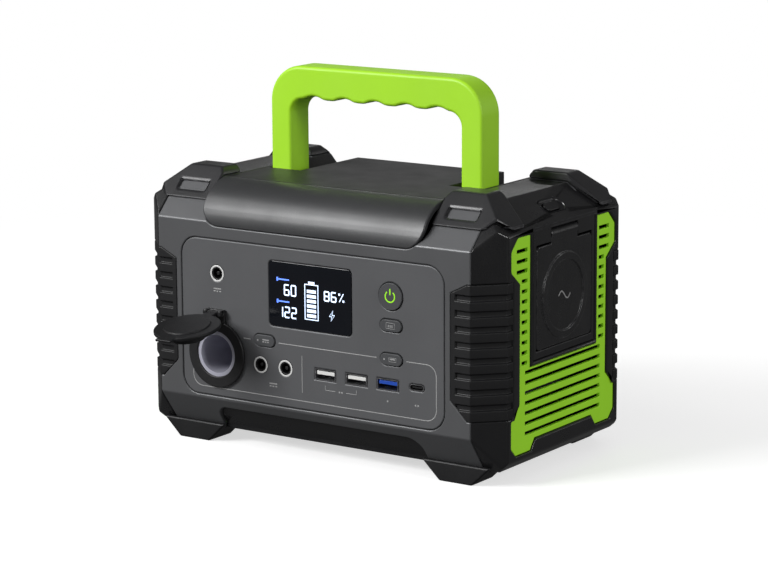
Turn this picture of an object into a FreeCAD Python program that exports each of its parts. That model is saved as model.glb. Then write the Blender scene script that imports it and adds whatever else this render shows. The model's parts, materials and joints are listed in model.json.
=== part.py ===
import FreeCAD, Part
import Sketcher
import math
import os

# Portable power station: a box casing with rubber corners, a fold-down handle, an outlet panel
# on the front, an AC outlet under a flip cover on the right end and a fan behind the left end.
# X runs to the right along the front, Y runs from the front to the back, Z is up.
# The origin is on the floor, under the middle of the casing.

doc = FreeCAD.newDocument("PowerStation")
sheet = doc.addObject("Spreadsheet::Sheet", "Sizes")
nodes = {}


class Size:
    """A length that keeps both its value and the sheet expression that it comes from."""

    def __init__(self, text, value):
        self.text = text
        self.value = value

    def __add__(self, other):
        other = as_size(other)
        return Size(f"({self.text} + {other.text})", self.value + other.value)

    def __sub__(self, other):
        other = as_size(other)
        return Size(f"({self.text} - {other.text})", self.value - other.value)

    def __mul__(self, other):
        other = as_size(other)
        return Size(f"({self.text} * {other.text})", self.value * other.value)

    def __truediv__(self, other):
        other = as_size(other)
        return Size(f"({self.text} / {other.text})", self.value / other.value)

    def __neg__(self):
        return Size(f"(0 - {self.text})", -self.value)

    __radd__ = __add__
    __rmul__ = __mul__

    def __rsub__(self, other):
        return as_size(other) - self


def as_size(value):
    return value if isinstance(value, Size) else Size(repr(float(value)), float(value))


def root(size):
    return Size(f"sqrt({size.text})", math.sqrt(size.value))


def dimension(alias, value):
    row = dimension.next_row
    dimension.next_row += 1
    sheet.set(f"A{row}", alias)
    sheet.set(f"B{row}", str(value))
    sheet.setAlias(f"B{row}", alias)
    return Size(f"Sizes.{alias}", float(value))


dimension.next_row = 1


# ---------------------------------------------------------------- driving dimensions, mm
# casing
body_wide = dimension("body_wide", 228)
body_deep = dimension("body_deep", 140)
deck_height = dimension("deck_height", 145)
base_height = dimension("base_height", 8)
wall = dimension("wall", 3)
corner_cut = dimension("corner_cut", 14)
shoulder_cut = dimension("shoulder_cut", 21)
end_slope_run = dimension("end_slope_run", 19)
end_slope_rise = dimension("end_slope_rise", 14)
sill_run = dimension("sill_run", 14)
sill_rise = dimension("sill_rise", 19)
end_sill_run = dimension("end_sill_run", 5)
end_sill_rise = dimension("end_sill_rise", 5)
saddle_half = dimension("saddle_half", 33)
deck_half = dimension("deck_half", 71)
seam = dimension("seam", 0.3)
panel_sink = dimension("panel_sink", 0.2)
tight = dimension("tight", 0.01)
fit = dimension("fit", 0.5)
pin_radius = dimension("pin_radius", 1.5)
post_pilot = dimension("post_pilot", 12)
screw_sink = dimension("screw_sink", 1.4)
# front roll and bottom bar
roll_radius = dimension("roll_radius", 23)
roll_corner = dimension("roll_corner", 11)
bar_half = dimension("bar_half", 66)
bar_top = dimension("bar_top", 22)
bar_corner = dimension("bar_corner", 8)
bar_inset = dimension("bar_inset", 1.5)
bar_lap = dimension("bar_lap", 2)
# rubber corners
bumper_thick = dimension("bumper_thick", 1.8)
bumper_low = dimension("bumper_low", 36)
bumper_high = dimension("bumper_high", 107)
bumper_reach = dimension("bumper_reach", 12)
bumper_wrap = dimension("bumper_wrap", 5)
bumper_cut = dimension("bumper_cut", 10)
rib_pitch = dimension("rib_pitch", 8.1)
rib_gap = dimension("rib_gap", 3)
rib_depth = dimension("rib_depth", 1.1)
guard_proud = dimension("guard_proud", 5)
guard_toe = dimension("guard_toe", 8)
guard_corner = dimension("guard_corner", 12)
guard_lean = dimension("guard_lean", 3)
guard_end_gap = dimension("guard_end_gap", 1)
guard_notch = dimension("guard_notch", 6)
guard_slot_corner = dimension("guard_slot_corner", 1.5)
guard_slot_low = dimension("guard_slot_low", 137.5)
guard_slot_tall = dimension("guard_slot_tall", 6)
guard_slot_deep = dimension("guard_slot_deep", 17)
# feet
foot_half = dimension("foot_half", 10)
foot_flare = dimension("foot_flare", 11)
foot_deep = dimension("foot_deep", 20)
foot_end_inset = dimension("foot_end_inset", 29)
foot_front_inset = dimension("foot_front_inset", 19)
foot_lap = dimension("foot_lap", 2.5)
# control panel
panel_wide = dimension("panel_wide", 168.6)
panel_low = dimension("panel_low", 29)
panel_high = dimension("panel_high", 114.7)
panel_corner = dimension("panel_corner", 10)
panel_thick = dimension("panel_thick", 1.9)
panel_ledge = dimension("panel_ledge", 4)
port_gap = dimension("port_gap", 0.15)
board_front = dimension("board_front", 16)
board_thick = dimension("board_thick", 1.6)
board_margin = dimension("board_margin", 3)
board_post = dimension("board_post", 2.5)
chip_half = dimension("chip_half", 5)
chip_thick = dimension("chip_thick", 1.8)
# display
display_x = dimension("display_x", 0.5)
display_z = dimension("display_z", 89.6)
display_wide = dimension("display_wide", 53)
display_tall = dimension("display_tall", 35)
module_deep = dimension("module_deep", 6)
module_gap = dimension("module_gap", 0.1)
display_corner = dimension("display_corner", 2.5)
# round jacks
jack_radius = dimension("jack_radius", 4.2)
jack_bore = dimension("jack_bore", 2.8)
jack_pin = dimension("jack_pin", 1.05)
jack_deep = dimension("jack_deep", 9)
# USB ports
usb_wide = dimension("usb_wide", 13.2)
usb_tall = dimension("usb_tall", 5.8)
usb_wall = dimension("usb_wall", 0.4)
usb_z = dimension("usb_z", 49.4)
usb_c_wide = dimension("usb_c_wide", 9)
usb_c_tall = dimension("usb_c_tall", 3.3)
tongue_half = dimension("tongue_half", 5.6)
tongue_thick = dimension("tongue_thick", 1.9)
tongue_gap = dimension("tongue_gap", 0.7)
tongue_sink = dimension("tongue_sink", 0.6)
usb_c_tongue_half = dimension("usb_c_tongue_half", 3.1)
usb_c_tongue_thick = dimension("usb_c_tongue_thick", 0.7)
# buttons
power_radius = dimension("power_radius", 7.2)
pill_wide = dimension("pill_wide", 13.4)
pill_tall = dimension("pill_tall", 6.2)
button_proud = dimension("button_proud", 0.6)
button_travel = dimension("button_travel", 0.8)
button_gap = dimension("button_gap", 0.2)
flange_thick = dimension("flange_thick", 1.2)
flange_lap = dimension("flange_lap", 1.2)
stem_radius = dimension("stem_radius", 2)
switch_tall = dimension("switch_tall", 7)
switch_half = dimension("switch_half", 3)
switch_base = dimension("switch_base", 3.5)
plunger_radius = dimension("plunger_radius", 1.7)
# car socket
socket_x = dimension("socket_x", -60.7)
socket_z = dimension("socket_z", 52.5)
socket_bore = dimension("socket_bore", 10.5)
socket_wall = dimension("socket_wall", 1.9)
socket_deep = dimension("socket_deep", 38)
socket_ring = dimension("socket_ring", 18.4)
ring_thick = dimension("ring_thick", 2)
barrel_proud = dimension("barrel_proud", 1.2)
end_wall = dimension("end_wall", 2.5)
contact_radius = dimension("contact_radius", 4)
flange_tall = dimension("flange_tall", 1.5)
stud_long = dimension("stud_long", 6)
nut_wide = dimension("nut_wide", 3.4)
nut_thick = dimension("nut_thick", 4)
tab_half = dimension("tab_half", 6)
ear_wide = dimension("ear_wide", 2.4)
ear_half = dimension("ear_half", 1.6)
ear_rise = dimension("ear_rise", 4.6)
cap_pin = dimension("cap_pin", 0.8)
cap_knuckle = dimension("cap_knuckle", 1.2)
cap_gap = dimension("cap_gap", 0.2)
cap_inner = dimension("cap_inner", 12.5)
cap_relief = dimension("cap_relief", 0.7)
pull_half = dimension("pull_half", 5)
pull_thick = dimension("pull_thick", 1.4)
plug_long = dimension("plug_long", 5)
plug_wall = dimension("plug_wall", 2)
cap_thick = dimension("cap_thick", 2)
cap_angle = dimension("cap_angle", -80)
# AC outlet on the right end
outlet_half = dimension("outlet_half", 31)
outlet_low = dimension("outlet_low", 62.4)
outlet_high = dimension("outlet_high", 130.5)
outlet_deep = dimension("outlet_deep", 24)
outlet_proud = dimension("outlet_proud", 0.3)
lid_half = dimension("lid_half", 27.7)
lid_low = dimension("lid_low", 66.9)
lid_high = dimension("lid_high", 120.8)
lid_swing_gap = dimension("lid_swing_gap", 1.1)
lid_thick = dimension("lid_thick", 2)
lid_ring_z = dimension("lid_ring_z", 92)
lid_ring_radius = dimension("lid_ring_radius", 22.7)
lid_ring_wide = dimension("lid_ring_wide", 4)
lid_ring_proud = dimension("lid_ring_proud", 0.8)
lid_gap = dimension("lid_gap", 0.3)
lid_pin_sink = dimension("lid_pin_sink", 0.6)
lid_pin_end = dimension("lid_pin_end", 6)
lid_corner = dimension("lid_corner", 2.5)
lid_pin_z = dimension("lid_pin_z", 125.6)
lid_knuckle = dimension("lid_knuckle", 3.1)
lid_knuckle_half = dimension("lid_knuckle_half", 13.3)
lid_pin_radius = dimension("lid_pin_radius", 1)
receptacle_half = dimension("receptacle_half", 17)
receptacle_sink = dimension("receptacle_sink", 6)
receptacle_gap = dimension("receptacle_gap", 0.1)
receptacle_proud = dimension("receptacle_proud", 1.2)
receptacle_corner = dimension("receptacle_corner", 5)
blade_gap = dimension("blade_gap", 6.35)
blade_slot = dimension("blade_slot", 2)
blade_tall = dimension("blade_tall", 8)
earth_radius = dimension("earth_radius", 2.6)
earth_drop = dimension("earth_drop", 8.5)
contact_deep = dimension("contact_deep", 9)
contact_thick = dimension("contact_thick", 0.6)
ac_button_inset = dimension("ac_button_inset", 9.6)
ac_button_y = dimension("ac_button_y", 2)
ac_button_long = dimension("ac_button_long", 13)
ac_button_wide = dimension("ac_button_wide", 5.6)
finger_room = dimension("finger_room", 4)
# vent grilles
vent_half = dimension("vent_half", 52.5)
vent_waist = dimension("vent_waist", 43.7)
vent_low = dimension("vent_low", 15.6)
vent_high = dimension("vent_high", 128.7)
vent_thick = dimension("vent_thick", 2)
vent_sink = dimension("vent_sink", 0.8)
vent_column = dimension("vent_column", 34)
vent_top_cut = dimension("vent_top_cut", 6.5)
vent_foot_cut = dimension("vent_foot_cut", 5)
arch_half = dimension("arch_half", 29)
arch_rise = dimension("arch_rise", 5.8)
arch_run = dimension("arch_run", 4.3)
waist_low = dimension("waist_low", 42)
waist_run = dimension("waist_run", 7.8)
waist_high = dimension("waist_high", 104.6)
waist_rise = dimension("waist_rise", 7.2)
slot_edge = dimension("slot_edge", 5.5)
stub_edge = dimension("stub_edge", 2.2)
stub_end = dimension("stub_end", 2)
long_stub_end = dimension("long_stub_end", 5.8)
slot_pitch = dimension("slot_pitch", 5.35)
slot_tall = dimension("slot_tall", 2)
slot_first = dimension("slot_first", 25.3)
# handle
handle_wide = dimension("handle_wide", 137)
handle_top = dimension("handle_top", 202)
handle_leg = dimension("handle_leg", 13.5)
handle_deep = dimension("handle_deep", 18)
handle_grip = dimension("handle_grip", 18)
handle_corner = dimension("handle_corner", 20)
handle_inner_corner = dimension("handle_inner_corner", 8)
hinge_height = dimension("hinge_height", 135.8)
hinge_pin = dimension("hinge_pin", 2.5)
running_gap = dimension("running_gap", 0.05)
fold_gap = dimension("fold_gap", 0.6)
plate_half = dimension("plate_half", 48.5)
finger_radius = dimension("finger_radius", 12)
finger_depth = dimension("finger_depth", 1.8)
finger_pitch = dimension("finger_pitch", 20)
# inside
cell_radius = dimension("cell_radius", 9.2)
cell_long = dimension("cell_long", 65)
cell_pitch = dimension("cell_pitch", 19.6)
cell_base = dimension("cell_base", 11.6)
pack_y = dimension("pack_y", 10)
holder_rim = dimension("holder_rim", 1)
holder_thick = dimension("holder_thick", 8)
holder_edge = dimension("holder_edge", 2)
strip_thick = dimension("strip_thick", 0.3)
strip_half = dimension("strip_half", 4)
inverter_half_x = dimension("inverter_half_x", 70)
inverter_half_y = dimension("inverter_half_y", 36)
leg_radius = dimension("leg_radius", 2.5)
coil_tall = dimension("coil_tall", 22)
fin_tall = dimension("fin_tall", 24)
fin_lead = dimension("fin_lead", 4)
sink_lead = dimension("sink_lead", 8)
sink_base = dimension("sink_base", 3)
sink_x = dimension("sink_x", 42)
sink_half = dimension("sink_half", 20)
power_chip_half = dimension("power_chip_half", 5)
power_chip_thick = dimension("power_chip_thick", 4)
power_chip_tall = dimension("power_chip_tall", 16)
capacitor_radius = dimension("capacitor_radius", 6)
capacitor_shift = dimension("capacitor_shift", 20)
capacitor_tall = dimension("capacitor_tall", 24)
coil_x = dimension("coil_x", -35)
core_half_x = dimension("core_half_x", 15)
core_half_y = dimension("core_half_y", 12)
coil_step = dimension("coil_step", 4)
fin_pitch = dimension("fin_pitch", 5)
fin_thick = dimension("fin_thick", 1.6)
frame_wall = dimension("frame_wall", 2)
hub = dimension("hub", 11)
motor_thick = dimension("motor_thick", 2.5)
fan_shaft = dimension("fan_shaft", 5)
vane_room = dimension("vane_room", 3)
vane_half = dimension("vane_half", 3.2)
vane_thick = dimension("vane_thick", 1.2)
fan_size = dimension("fan_size", 60)
fan_thick = dimension("fan_thick", 15)
fan_z = dimension("fan_z", 74)
inverter_z = dimension("inverter_z", 92)
screw_radius = dimension("screw_radius", 1.5)
screw_head = dimension("screw_head", 2.9)
head_thick = dimension("head_thick", 1.3)
head_gap = dimension("head_gap", 0.1)
foot_sink = dimension("foot_sink", 4)
boss_tall = dimension("boss_tall", 8)
post_radius = dimension("post_radius", 4)
post_x = dimension("post_x", 82)
post_low = dimension("post_low", 33)
post_high = dimension("post_high", 114)
# how far cutting tools stand past what they cut
margin = dimension("margin", 5)
doc.recompute()

half_wide = body_wide / 2
half_deep = body_deep / 2
face_half = half_wide - corner_cut
front = -half_deep
back = half_deep


# ---------------------------------------------------------------- modelling helpers
def bind(thing, prop, size):
    thing.setExpression(prop, as_size(size).text)


def move(thing, x=0, y=0, z=0):
    for axis, size in (("x", x), ("y", y), ("z", z)):
        bind(thing, f"Placement.Base.{axis}", size)


def box(name, x, y, z):
    """A box from three pairs of limits."""
    thing = doc.addObject("Part::Box", name)
    for prop, (low, high) in (("Length", x), ("Width", y), ("Height", z)):
        bind(thing, prop, as_size(high) - low)
    move(thing, x[0], y[0], z[0])
    return thing


turns = {
    "x": FreeCAD.Rotation(FreeCAD.Vector(0, 1, 0), 90),
    "y": FreeCAD.Rotation(FreeCAD.Vector(1, 0, 0), -90),
    "z": FreeCAD.Rotation(),
}


def rod(name, axis, radius, start, length):
    """A cylinder from its start point, along the positive axis."""
    thing = doc.addObject("Part::Cylinder", name)
    bind(thing, "Radius", radius)
    bind(thing, "Height", length)
    thing.Placement = FreeCAD.Placement(FreeCAD.Vector(), turns[axis])
    move(thing, *start)
    return thing


def joined(name, parts):
    thing = doc.addObject("Part::MultiFuse", name)
    thing.Shapes = parts
    return thing


def grouped(name, parts):
    thing = doc.addObject("Part::Compound", name)
    thing.Links = parts
    return thing


def cut(name, base, *tools):
    """The base without the tools."""
    thing = doc.addObject("Part::Cut", name)
    thing.Base = base
    thing.Tool = tools[0] if len(tools) == 1 else joined(f"{name}_tools", list(tools))
    return thing


def common(name, *parts):
    thing = doc.addObject("Part::MultiCommon", name)
    thing.Shapes = list(parts)
    return thing


def tube(name, axis, outer, inner, start, length):
    solid = rod(f"{name}_outer", axis, outer, start, length)
    hole = rod(f"{name}_inner", axis, inner, start, length)
    return cut(name, solid, hole)


def keep(name, thing):
    """Registers a finished sub-part under its own label."""
    thing.Label = name
    nodes[name] = thing
    return thing


def fix(sketch, kind, geometry, point, size):
    number = sketch.addConstraint(Sketcher.Constraint(kind, -1, 1, geometry, point, size.value))
    sketch.setExpression(f"Constraints[{number}]", size.text)


def polygon(points):
    """An outline of straight lines, each corner held at its own two sizes."""
    corners = [(as_size(x), as_size(y)) for x, y in points]

    def draw(sketch):
        count = len(corners)
        places = [FreeCAD.Vector(x.value, y.value, 0) for x, y in corners]
        for index in range(count):
            line = Part.LineSegment(places[index], places[(index + 1) % count])
            sketch.addGeometry(line, False)
        for index, (x, y) in enumerate(corners):
            after = (index + 1) % count
            sketch.addConstraint(Sketcher.Constraint("Coincident", index, 2, after, 1))
            fix(sketch, "DistanceX", index, 1, x)
            fix(sketch, "DistanceY", index, 1, y)

    return draw


def rounded(left, right, low, high, radius):
    """A rectangle with four round corners."""
    left, right, low, high, radius = (as_size(s) for s in (left, right, low, high, radius))

    def draw(sketch):
        x0, x1, y0, y1, r = left.value, right.value, low.value, high.value, radius.value
        v = FreeCAD.Vector
        sides = (
            (v(x0 + r, y0, 0), v(x1 - r, y0, 0)),
            (v(x1, y0 + r, 0), v(x1, y1 - r, 0)),
            (v(x1 - r, y1, 0), v(x0 + r, y1, 0)),
            (v(x0, y1 - r, 0), v(x0, y0 + r, 0)),
        )
        for start, end in sides:
            sketch.addGeometry(Part.LineSegment(start, end), False)
        middles = (v(x1 - r, y0 + r, 0), v(x1 - r, y1 - r, 0), v(x0 + r, y1 - r, 0), v(x0 + r, y0 + r, 0))
        for quarter, middle in enumerate(middles):
            begin = (quarter - 1) * math.pi / 2
            circle = Part.Circle(middle, v(0, 0, 1), r)
            sketch.addGeometry(Part.ArcOfCircle(circle, begin, begin + math.pi / 2), False)
        for side in range(4):
            sketch.addConstraint(Sketcher.Constraint("Tangent", side, 2, side + 4, 1))
            sketch.addConstraint(Sketcher.Constraint("Tangent", side + 4, 2, (side + 1) % 4, 1))
            sketch.addConstraint(Sketcher.Constraint("Vertical" if side % 2 else "Horizontal", side))
        for arc in (5, 6, 7):
            sketch.addConstraint(Sketcher.Constraint("Equal", 4, arc))
        number = sketch.addConstraint(Sketcher.Constraint("Radius", 4, r))
        sketch.setExpression(f"Constraints[{number}]", radius.text)
        fix(sketch, "DistanceY", 0, 1, low)
        fix(sketch, "DistanceX", 1, 1, right)
        fix(sketch, "DistanceY", 2, 1, high)
        fix(sketch, "DistanceX", 3, 1, left)

    return draw


def slot(middle_x, middle_y, wide, tall):
    """A long hole with half-round ends, lying along the sketch's first axis."""
    middle_x, middle_y, wide, tall = (as_size(s) for s in (middle_x, middle_y, wide, tall))
    reach = (wide - tall) / 2

    def draw(sketch):
        v = FreeCAD.Vector
        x, y, half, r = middle_x.value, middle_y.value, reach.value, tall.value / 2
        sketch.addGeometry(Part.LineSegment(v(x - half, y - r, 0), v(x + half, y - r, 0)), False)
        sketch.addGeometry(Part.LineSegment(v(x + half, y + r, 0), v(x - half, y + r, 0)), False)
        right_end = Part.Circle(v(x + half, y, 0), v(0, 0, 1), r)
        left_end = Part.Circle(v(x - half, y, 0), v(0, 0, 1), r)
        sketch.addGeometry(Part.ArcOfCircle(right_end, -math.pi / 2, math.pi / 2), False)
        sketch.addGeometry(Part.ArcOfCircle(left_end, math.pi / 2, 3 * math.pi / 2), False)
        for before, after in ((0, 2), (2, 1), (1, 3), (3, 0)):
            sketch.addConstraint(Sketcher.Constraint("Tangent", before, 2, after, 1))
        sketch.addConstraint(Sketcher.Constraint("Horizontal", 0))
        sketch.addConstraint(Sketcher.Constraint("Equal", 2, 3))
        fix(sketch, "DistanceX", 2, 3, middle_x + reach)
        fix(sketch, "DistanceX", 3, 3, middle_x - reach)
        fix(sketch, "DistanceY", 0, 1, middle_y - tall / 2)
        fix(sketch, "DistanceY", 2, 3, middle_y)

    return draw


def circle(middle_x, middle_y, radius):
    middle_x, middle_y, radius = (as_size(s) for s in (middle_x, middle_y, radius))

    def draw(sketch):
        middle = FreeCAD.Vector(middle_x.value, middle_y.value, 0)
        ring = Part.Circle(middle, FreeCAD.Vector(0, 0, 1), radius.value)
        sketch.addGeometry(ring, False)
        number = sketch.addConstraint(Sketcher.Constraint("Radius", 0, radius.value))
        sketch.setExpression(f"Constraints[{number}]", radius.text)
        fix(sketch, "DistanceX", 0, 3, middle_x)
        fix(sketch, "DistanceY", 0, 3, middle_y)

    return draw


def place_sketch(body, name, role, level, outline):
    """A sketch on one of the body's own origin planes, lifted to its level along the normal."""
    sketch = body.newObject("Sketcher::SketchObject", name)
    plane = [feature for feature in body.Origin.OriginFeatures if feature.Role == role][0]
    sketch.AttachmentSupport = [(plane, "")]
    sketch.MapMode = "FlatFace"
    bind(sketch, "AttachmentOffset.Base.z", level)
    outline(sketch)
    return sketch


# The normal of the XZ plane points to -Y, so a depth range is given there as -high, -low.
def prism(name, role, low, high, outline):
    """A body with one pad, between two levels along X, Y or Z."""
    low, high = as_size(low), as_size(high)
    level = -high if role == "XZ_Plane" else low
    body = doc.addObject("PartDesign::Body", name)
    sketch = place_sketch(body, f"{name}_outline", role, level, outline)
    pad = body.newObject("PartDesign::Pad", f"{name}_pad")
    pad.Profile = sketch
    bind(pad, "Length", high - low)
    return body


def along_x(name, low, high, outline):
    return prism(name, "YZ_Plane", low, high, outline)


def along_y(name, low, high, outline):
    return prism(name, "XZ_Plane", low, high, outline)


def along_z(name, low, high, outline):
    return prism(name, "XY_Plane", low, high, outline)


def pocket(body, name, role, low, high, outline):
    """Removes material from a body between two levels."""
    low, high = as_size(low), as_size(high)
    level = -low if role == "XZ_Plane" else high
    sketch = place_sketch(body, f"{name}_outline", role, level, outline)
    feature = body.newObject("PartDesign::Pocket", name)
    feature.Profile = sketch
    bind(feature, "Length", high - low)
    return feature


def round_edges(body, name, radius, chosen):
    """Rounds the body's edges that the test chooses."""
    doc.recompute()
    tip = body.Tip
    edges = [f"Edge{index}" for index, edge in enumerate(tip.Shape.Edges, 1) if chosen(edge)]
    feature = body.newObject("PartDesign::Fillet", name)
    feature.Base = (tip, edges)
    bind(feature, "Radius", radius)
    return feature


def mirrored_x(name, source):
    thing = doc.addObject("Part::Mirroring", name)
    thing.Source = source
    thing.Normal = FreeCAD.Vector(1, 0, 0)
    return thing


def mirrored_y(name, source):
    thing = doc.addObject("Part::Mirroring", name)
    thing.Source = source
    thing.Normal = FreeCAD.Vector(0, 1, 0)
    return thing


# ---------------------------------------------------------------- the casing's envelope
def cut_corner(run, rise, inset):
    """How far the two ends of a sloped corner move when the outline shrinks by inset."""
    slope = root(run * run + rise * rise)
    return (slope - rise) / run * inset, (slope - run) / rise * inset


def envelope(name, inset):
    """The casing's outer form, shrunk on every side by inset."""
    inset = as_size(inset)
    x = half_wide - inset
    y = half_deep - inset
    low = base_height + inset
    high = deck_height - inset
    at_x, at_y = cut_corner(corner_cut, corner_cut, inset)
    plan = []
    for sx, sy in ((1, 1), (-1, 1), (-1, -1), (1, -1)):
        pair = [(sx * x, sy * (half_deep - corner_cut - at_y)), (sx * (face_half - at_x), sy * y)]
        plan += pair if sx * sy > 0 else pair[::-1]
    low_side, low_flat = cut_corner(sill_run, sill_rise, inset)
    high_side, high_flat = cut_corner(shoulder_cut, shoulder_cut, inset)
    side = [
        (y, base_height + sill_rise + low_side),
        (y, deck_height - shoulder_cut - high_side),
        (half_deep - shoulder_cut - high_flat, high),
    ]
    side += [(-a, b) for a, b in reversed(side)]
    side += [(-(half_deep - sill_run - low_flat), low), (half_deep - sill_run - low_flat, low)]
    low_side, low_flat = cut_corner(end_sill_run, end_sill_rise, inset)
    high_side, high_flat = cut_corner(end_slope_run, end_slope_rise, inset)
    end = [
        (x, base_height + end_sill_rise + low_side),
        (x, deck_height - end_slope_rise - high_side),
        (half_wide - end_slope_run - high_flat, high),
    ]
    end += [(-a, b) for a, b in reversed(end)]
    end += [(-(half_wide - end_sill_run - low_flat), low), (half_wide - end_sill_run - low_flat, low)]
    return common(
        name,
        along_z(f"{name}_plan", low, high, polygon(plan)),
        along_x(f"{name}_side", -x, x, polygon(side)),
        along_y(f"{name}_end", -y, y, polygon(end)),
    )


outside = envelope("outside", 0)
inside = envelope("inside", wall)
skin = cut("skin", outside, inside)
tall_low = base_height - margin
tall_high = deck_height + margin
wide_high = half_wide + margin

# the rubber corners' pockets, sunk into the casing's corners
bumper_floor = envelope("bumper_floor", bumper_thick)
bumper_face = half_wide - corner_cut - bumper_reach
bumper_outline = polygon([
    (bumper_face, bumper_low + bumper_cut),
    (bumper_face + bumper_cut, bumper_low),
    (wide_high, bumper_low),
    (wide_high, bumper_high),
    (bumper_face + bumper_cut, bumper_high),
    (bumper_face, bumper_high - bumper_cut / 2),
])
bumper_block = along_y(
    "bumper_block", front - margin, front + corner_cut + bumper_wrap, bumper_outline
)
bumper_solid = common("bumper_solid", cut("bumper_layer", outside, bumper_floor), bumper_block)
bumper_pockets = grouped("bumper_pockets", [
    bumper_solid,
    mirrored_x("bumper_pocket_left", bumper_solid),
    mirrored_y("bumper_pocket_back", bumper_solid),
    mirrored_x("bumper_pocket_back_left", mirrored_y("bumper_pocket_turned", bumper_solid)),
])

# ---------------------------------------------------------------- control panel's shared layout
panel_half = panel_wide / 2
panel_front = front + panel_sink
panel_back = panel_front + panel_thick
board_face = front + board_front
board_back = board_face + board_thick

jacks = {
    "dc_in_jack": (dimension("dc_in_x", -60.4), dimension("dc_in_z", 96.3)),
    "dc_out_jack_left": (dimension("dc_out_left_x", -32.1), dimension("dc_out_z", 49.8)),
    "dc_out_jack_right": (dimension("dc_out_right_x", -15.8), Size("Sizes.dc_out_z", 49.8)),
}
usb_places = {
    "usb_port_left": dimension("usb_left_x", 9.9),
    "usb_port_middle": dimension("usb_middle_x", 29.7),
    "usb_port_fast": dimension("usb_fast_x", 49.4),
}
usb_c_x = dimension("usb_c_x", 67.5)
usb_c_z = dimension("usb_c_z", 50.1)
power_x = dimension("power_x", 51.7)
power_z = dimension("power_z", 96.1)
pills = {
    "display_button": (dimension("display_pill_x", 51.8), dimension("display_pill_z", 80.8)),
    "dc_button": (dimension("dc_pill_x", -29.3), dimension("dc_pill_z", 63.3)),
    "usb_button": (dimension("usb_pill_x", 51.9), dimension("usb_pill_z", 63)),
}


# ---------------------------------------------------------------- casing covers
def beyond(depth, side):
    """Everything farther along Y than a depth, to the back for a side of 1 and to the front for -1."""
    return (depth, back + margin) if side > 0 else (front - margin, -depth)


def front_region(name, side):
    """The part of the casing that a front or back cover takes; side is -1 or 1."""
    face = box(f"{name}_face", (-face_half, face_half), beyond(half_deep - sill_run, side),
               (tall_low, tall_high))
    shoulder = box(f"{name}_shoulder", (-face_half, face_half), beyond(saddle_half, side),
                   (deck_height - shoulder_cut - wall, tall_high))
    return joined(f"{name}_region", [face, shoulder])


def posts(name, start, length, radius):
    places = [(sx * post_x, z) for sx in (-1, 1) for z in (post_low, post_high)]
    return [
        rod(f"{name}_{index}", "y", radius, (x, start, z), length)
        for index, (x, z) in enumerate(places)
    ]


roll_low = deck_height - roll_radius
well_floor = hinge_height - handle_deep / 2 - fold_gap
tray_low = well_floor - wall
bar_cut_outline = rounded(-bar_half, bar_half, -bar_top, bar_top, bar_corner)
post_end = back - wall - seam

front_blank = joined("front_blank", [
    common("front_skin", skin, front_region("front", -1)),
    *posts("front_post", front + wall / 2, post_end - front - wall / 2, post_radius),
])
front_cover = cut(
    "front_cover_body", front_blank,
    bumper_pockets,
    along_y("roll_opening", front - margin, -saddle_half + margin, rounded(
        -deck_half, deck_half, roll_low - seam, tall_high + roll_radius, roll_corner + seam)),
    along_y("bar_opening", front - margin, front + sill_run + margin, bar_cut_outline),
    along_y("panel_recess", front - margin, panel_back, rounded(
        -panel_half - seam, panel_half + seam, panel_low - seam, panel_high + seam,
        panel_corner + seam)),
    along_y("panel_window", front, front + wall + margin, rounded(
        -panel_half + panel_ledge, panel_half - panel_ledge,
        panel_low + panel_ledge, panel_high - panel_ledge, panel_corner - panel_ledge)),
    *posts("front_pilot", post_end - post_pilot, post_pilot, screw_radius),
)
keep("front_cover", front_cover)

rear_cover = cut(
    "rear_cover_body", common("rear_skin", skin, front_region("rear", 1)),
    bumper_pockets,
    box("well_opening", (-deck_half, deck_half), (0, back + margin), (tray_low - seam, tall_high)),
    mirrored_y("rear_bar_opening", along_y(
        "rear_bar_blank", front - margin, front + sill_run + margin, bar_cut_outline)),
    *posts("rear_pilot", back - wall - margin, wall + 2 * margin, screw_radius),
    *posts("rear_sink", back - screw_sink, margin, screw_head + head_gap),
)
keep("rear_cover", rear_cover)


def bar(name, side):
    """The dark bar between two feet, set back from the covers' face."""
    outer = envelope(f"{name}_outer", bar_inset)
    inner = envelope(f"{name}_inner", bar_inset + wall)
    zone = along_y(f"{name}_zone", *beyond(half_deep - sill_run - bar_lap, side), rounded(
        -bar_half + seam, bar_half - seam, -bar_top, bar_top - seam, bar_corner - seam))
    return common(name, cut(f"{name}_skin", outer, inner), zone)


foot_x = half_wide - foot_end_inset
foot_y = half_deep - foot_front_inset
foot_places = [(sx, sy) for sx in (-1, 1) for sy in (-1, 1)]
boss_top = base_height + wall + boss_tall


def foot_rods(name, radius, low, length):
    return [
        rod(f"{name}_{index}", "z", radius, (sx * foot_x, sy * foot_y, low), length)
        for index, (sx, sy) in enumerate(foot_places)
    ]


bottom_plate = common("bottom_plate", skin, box(
    "bottom_zone", (-face_half, face_half),
    (-half_deep + sill_run, half_deep - sill_run), (tall_low, base_height + wall)))
bottom_cover = cut(
    "bottom_cover_body",
    joined("bottom_blank", [
        bottom_plate, bar("front_bar", -1), bar("rear_bar", 1),
        *foot_rods("foot_boss", post_radius, base_height + 1, boss_top - base_height - 1),
    ]),
    *foot_rods("foot_pilot", screw_radius, tall_low, boss_top + margin - tall_low),
)
keep("bottom_cover", bottom_cover)


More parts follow.
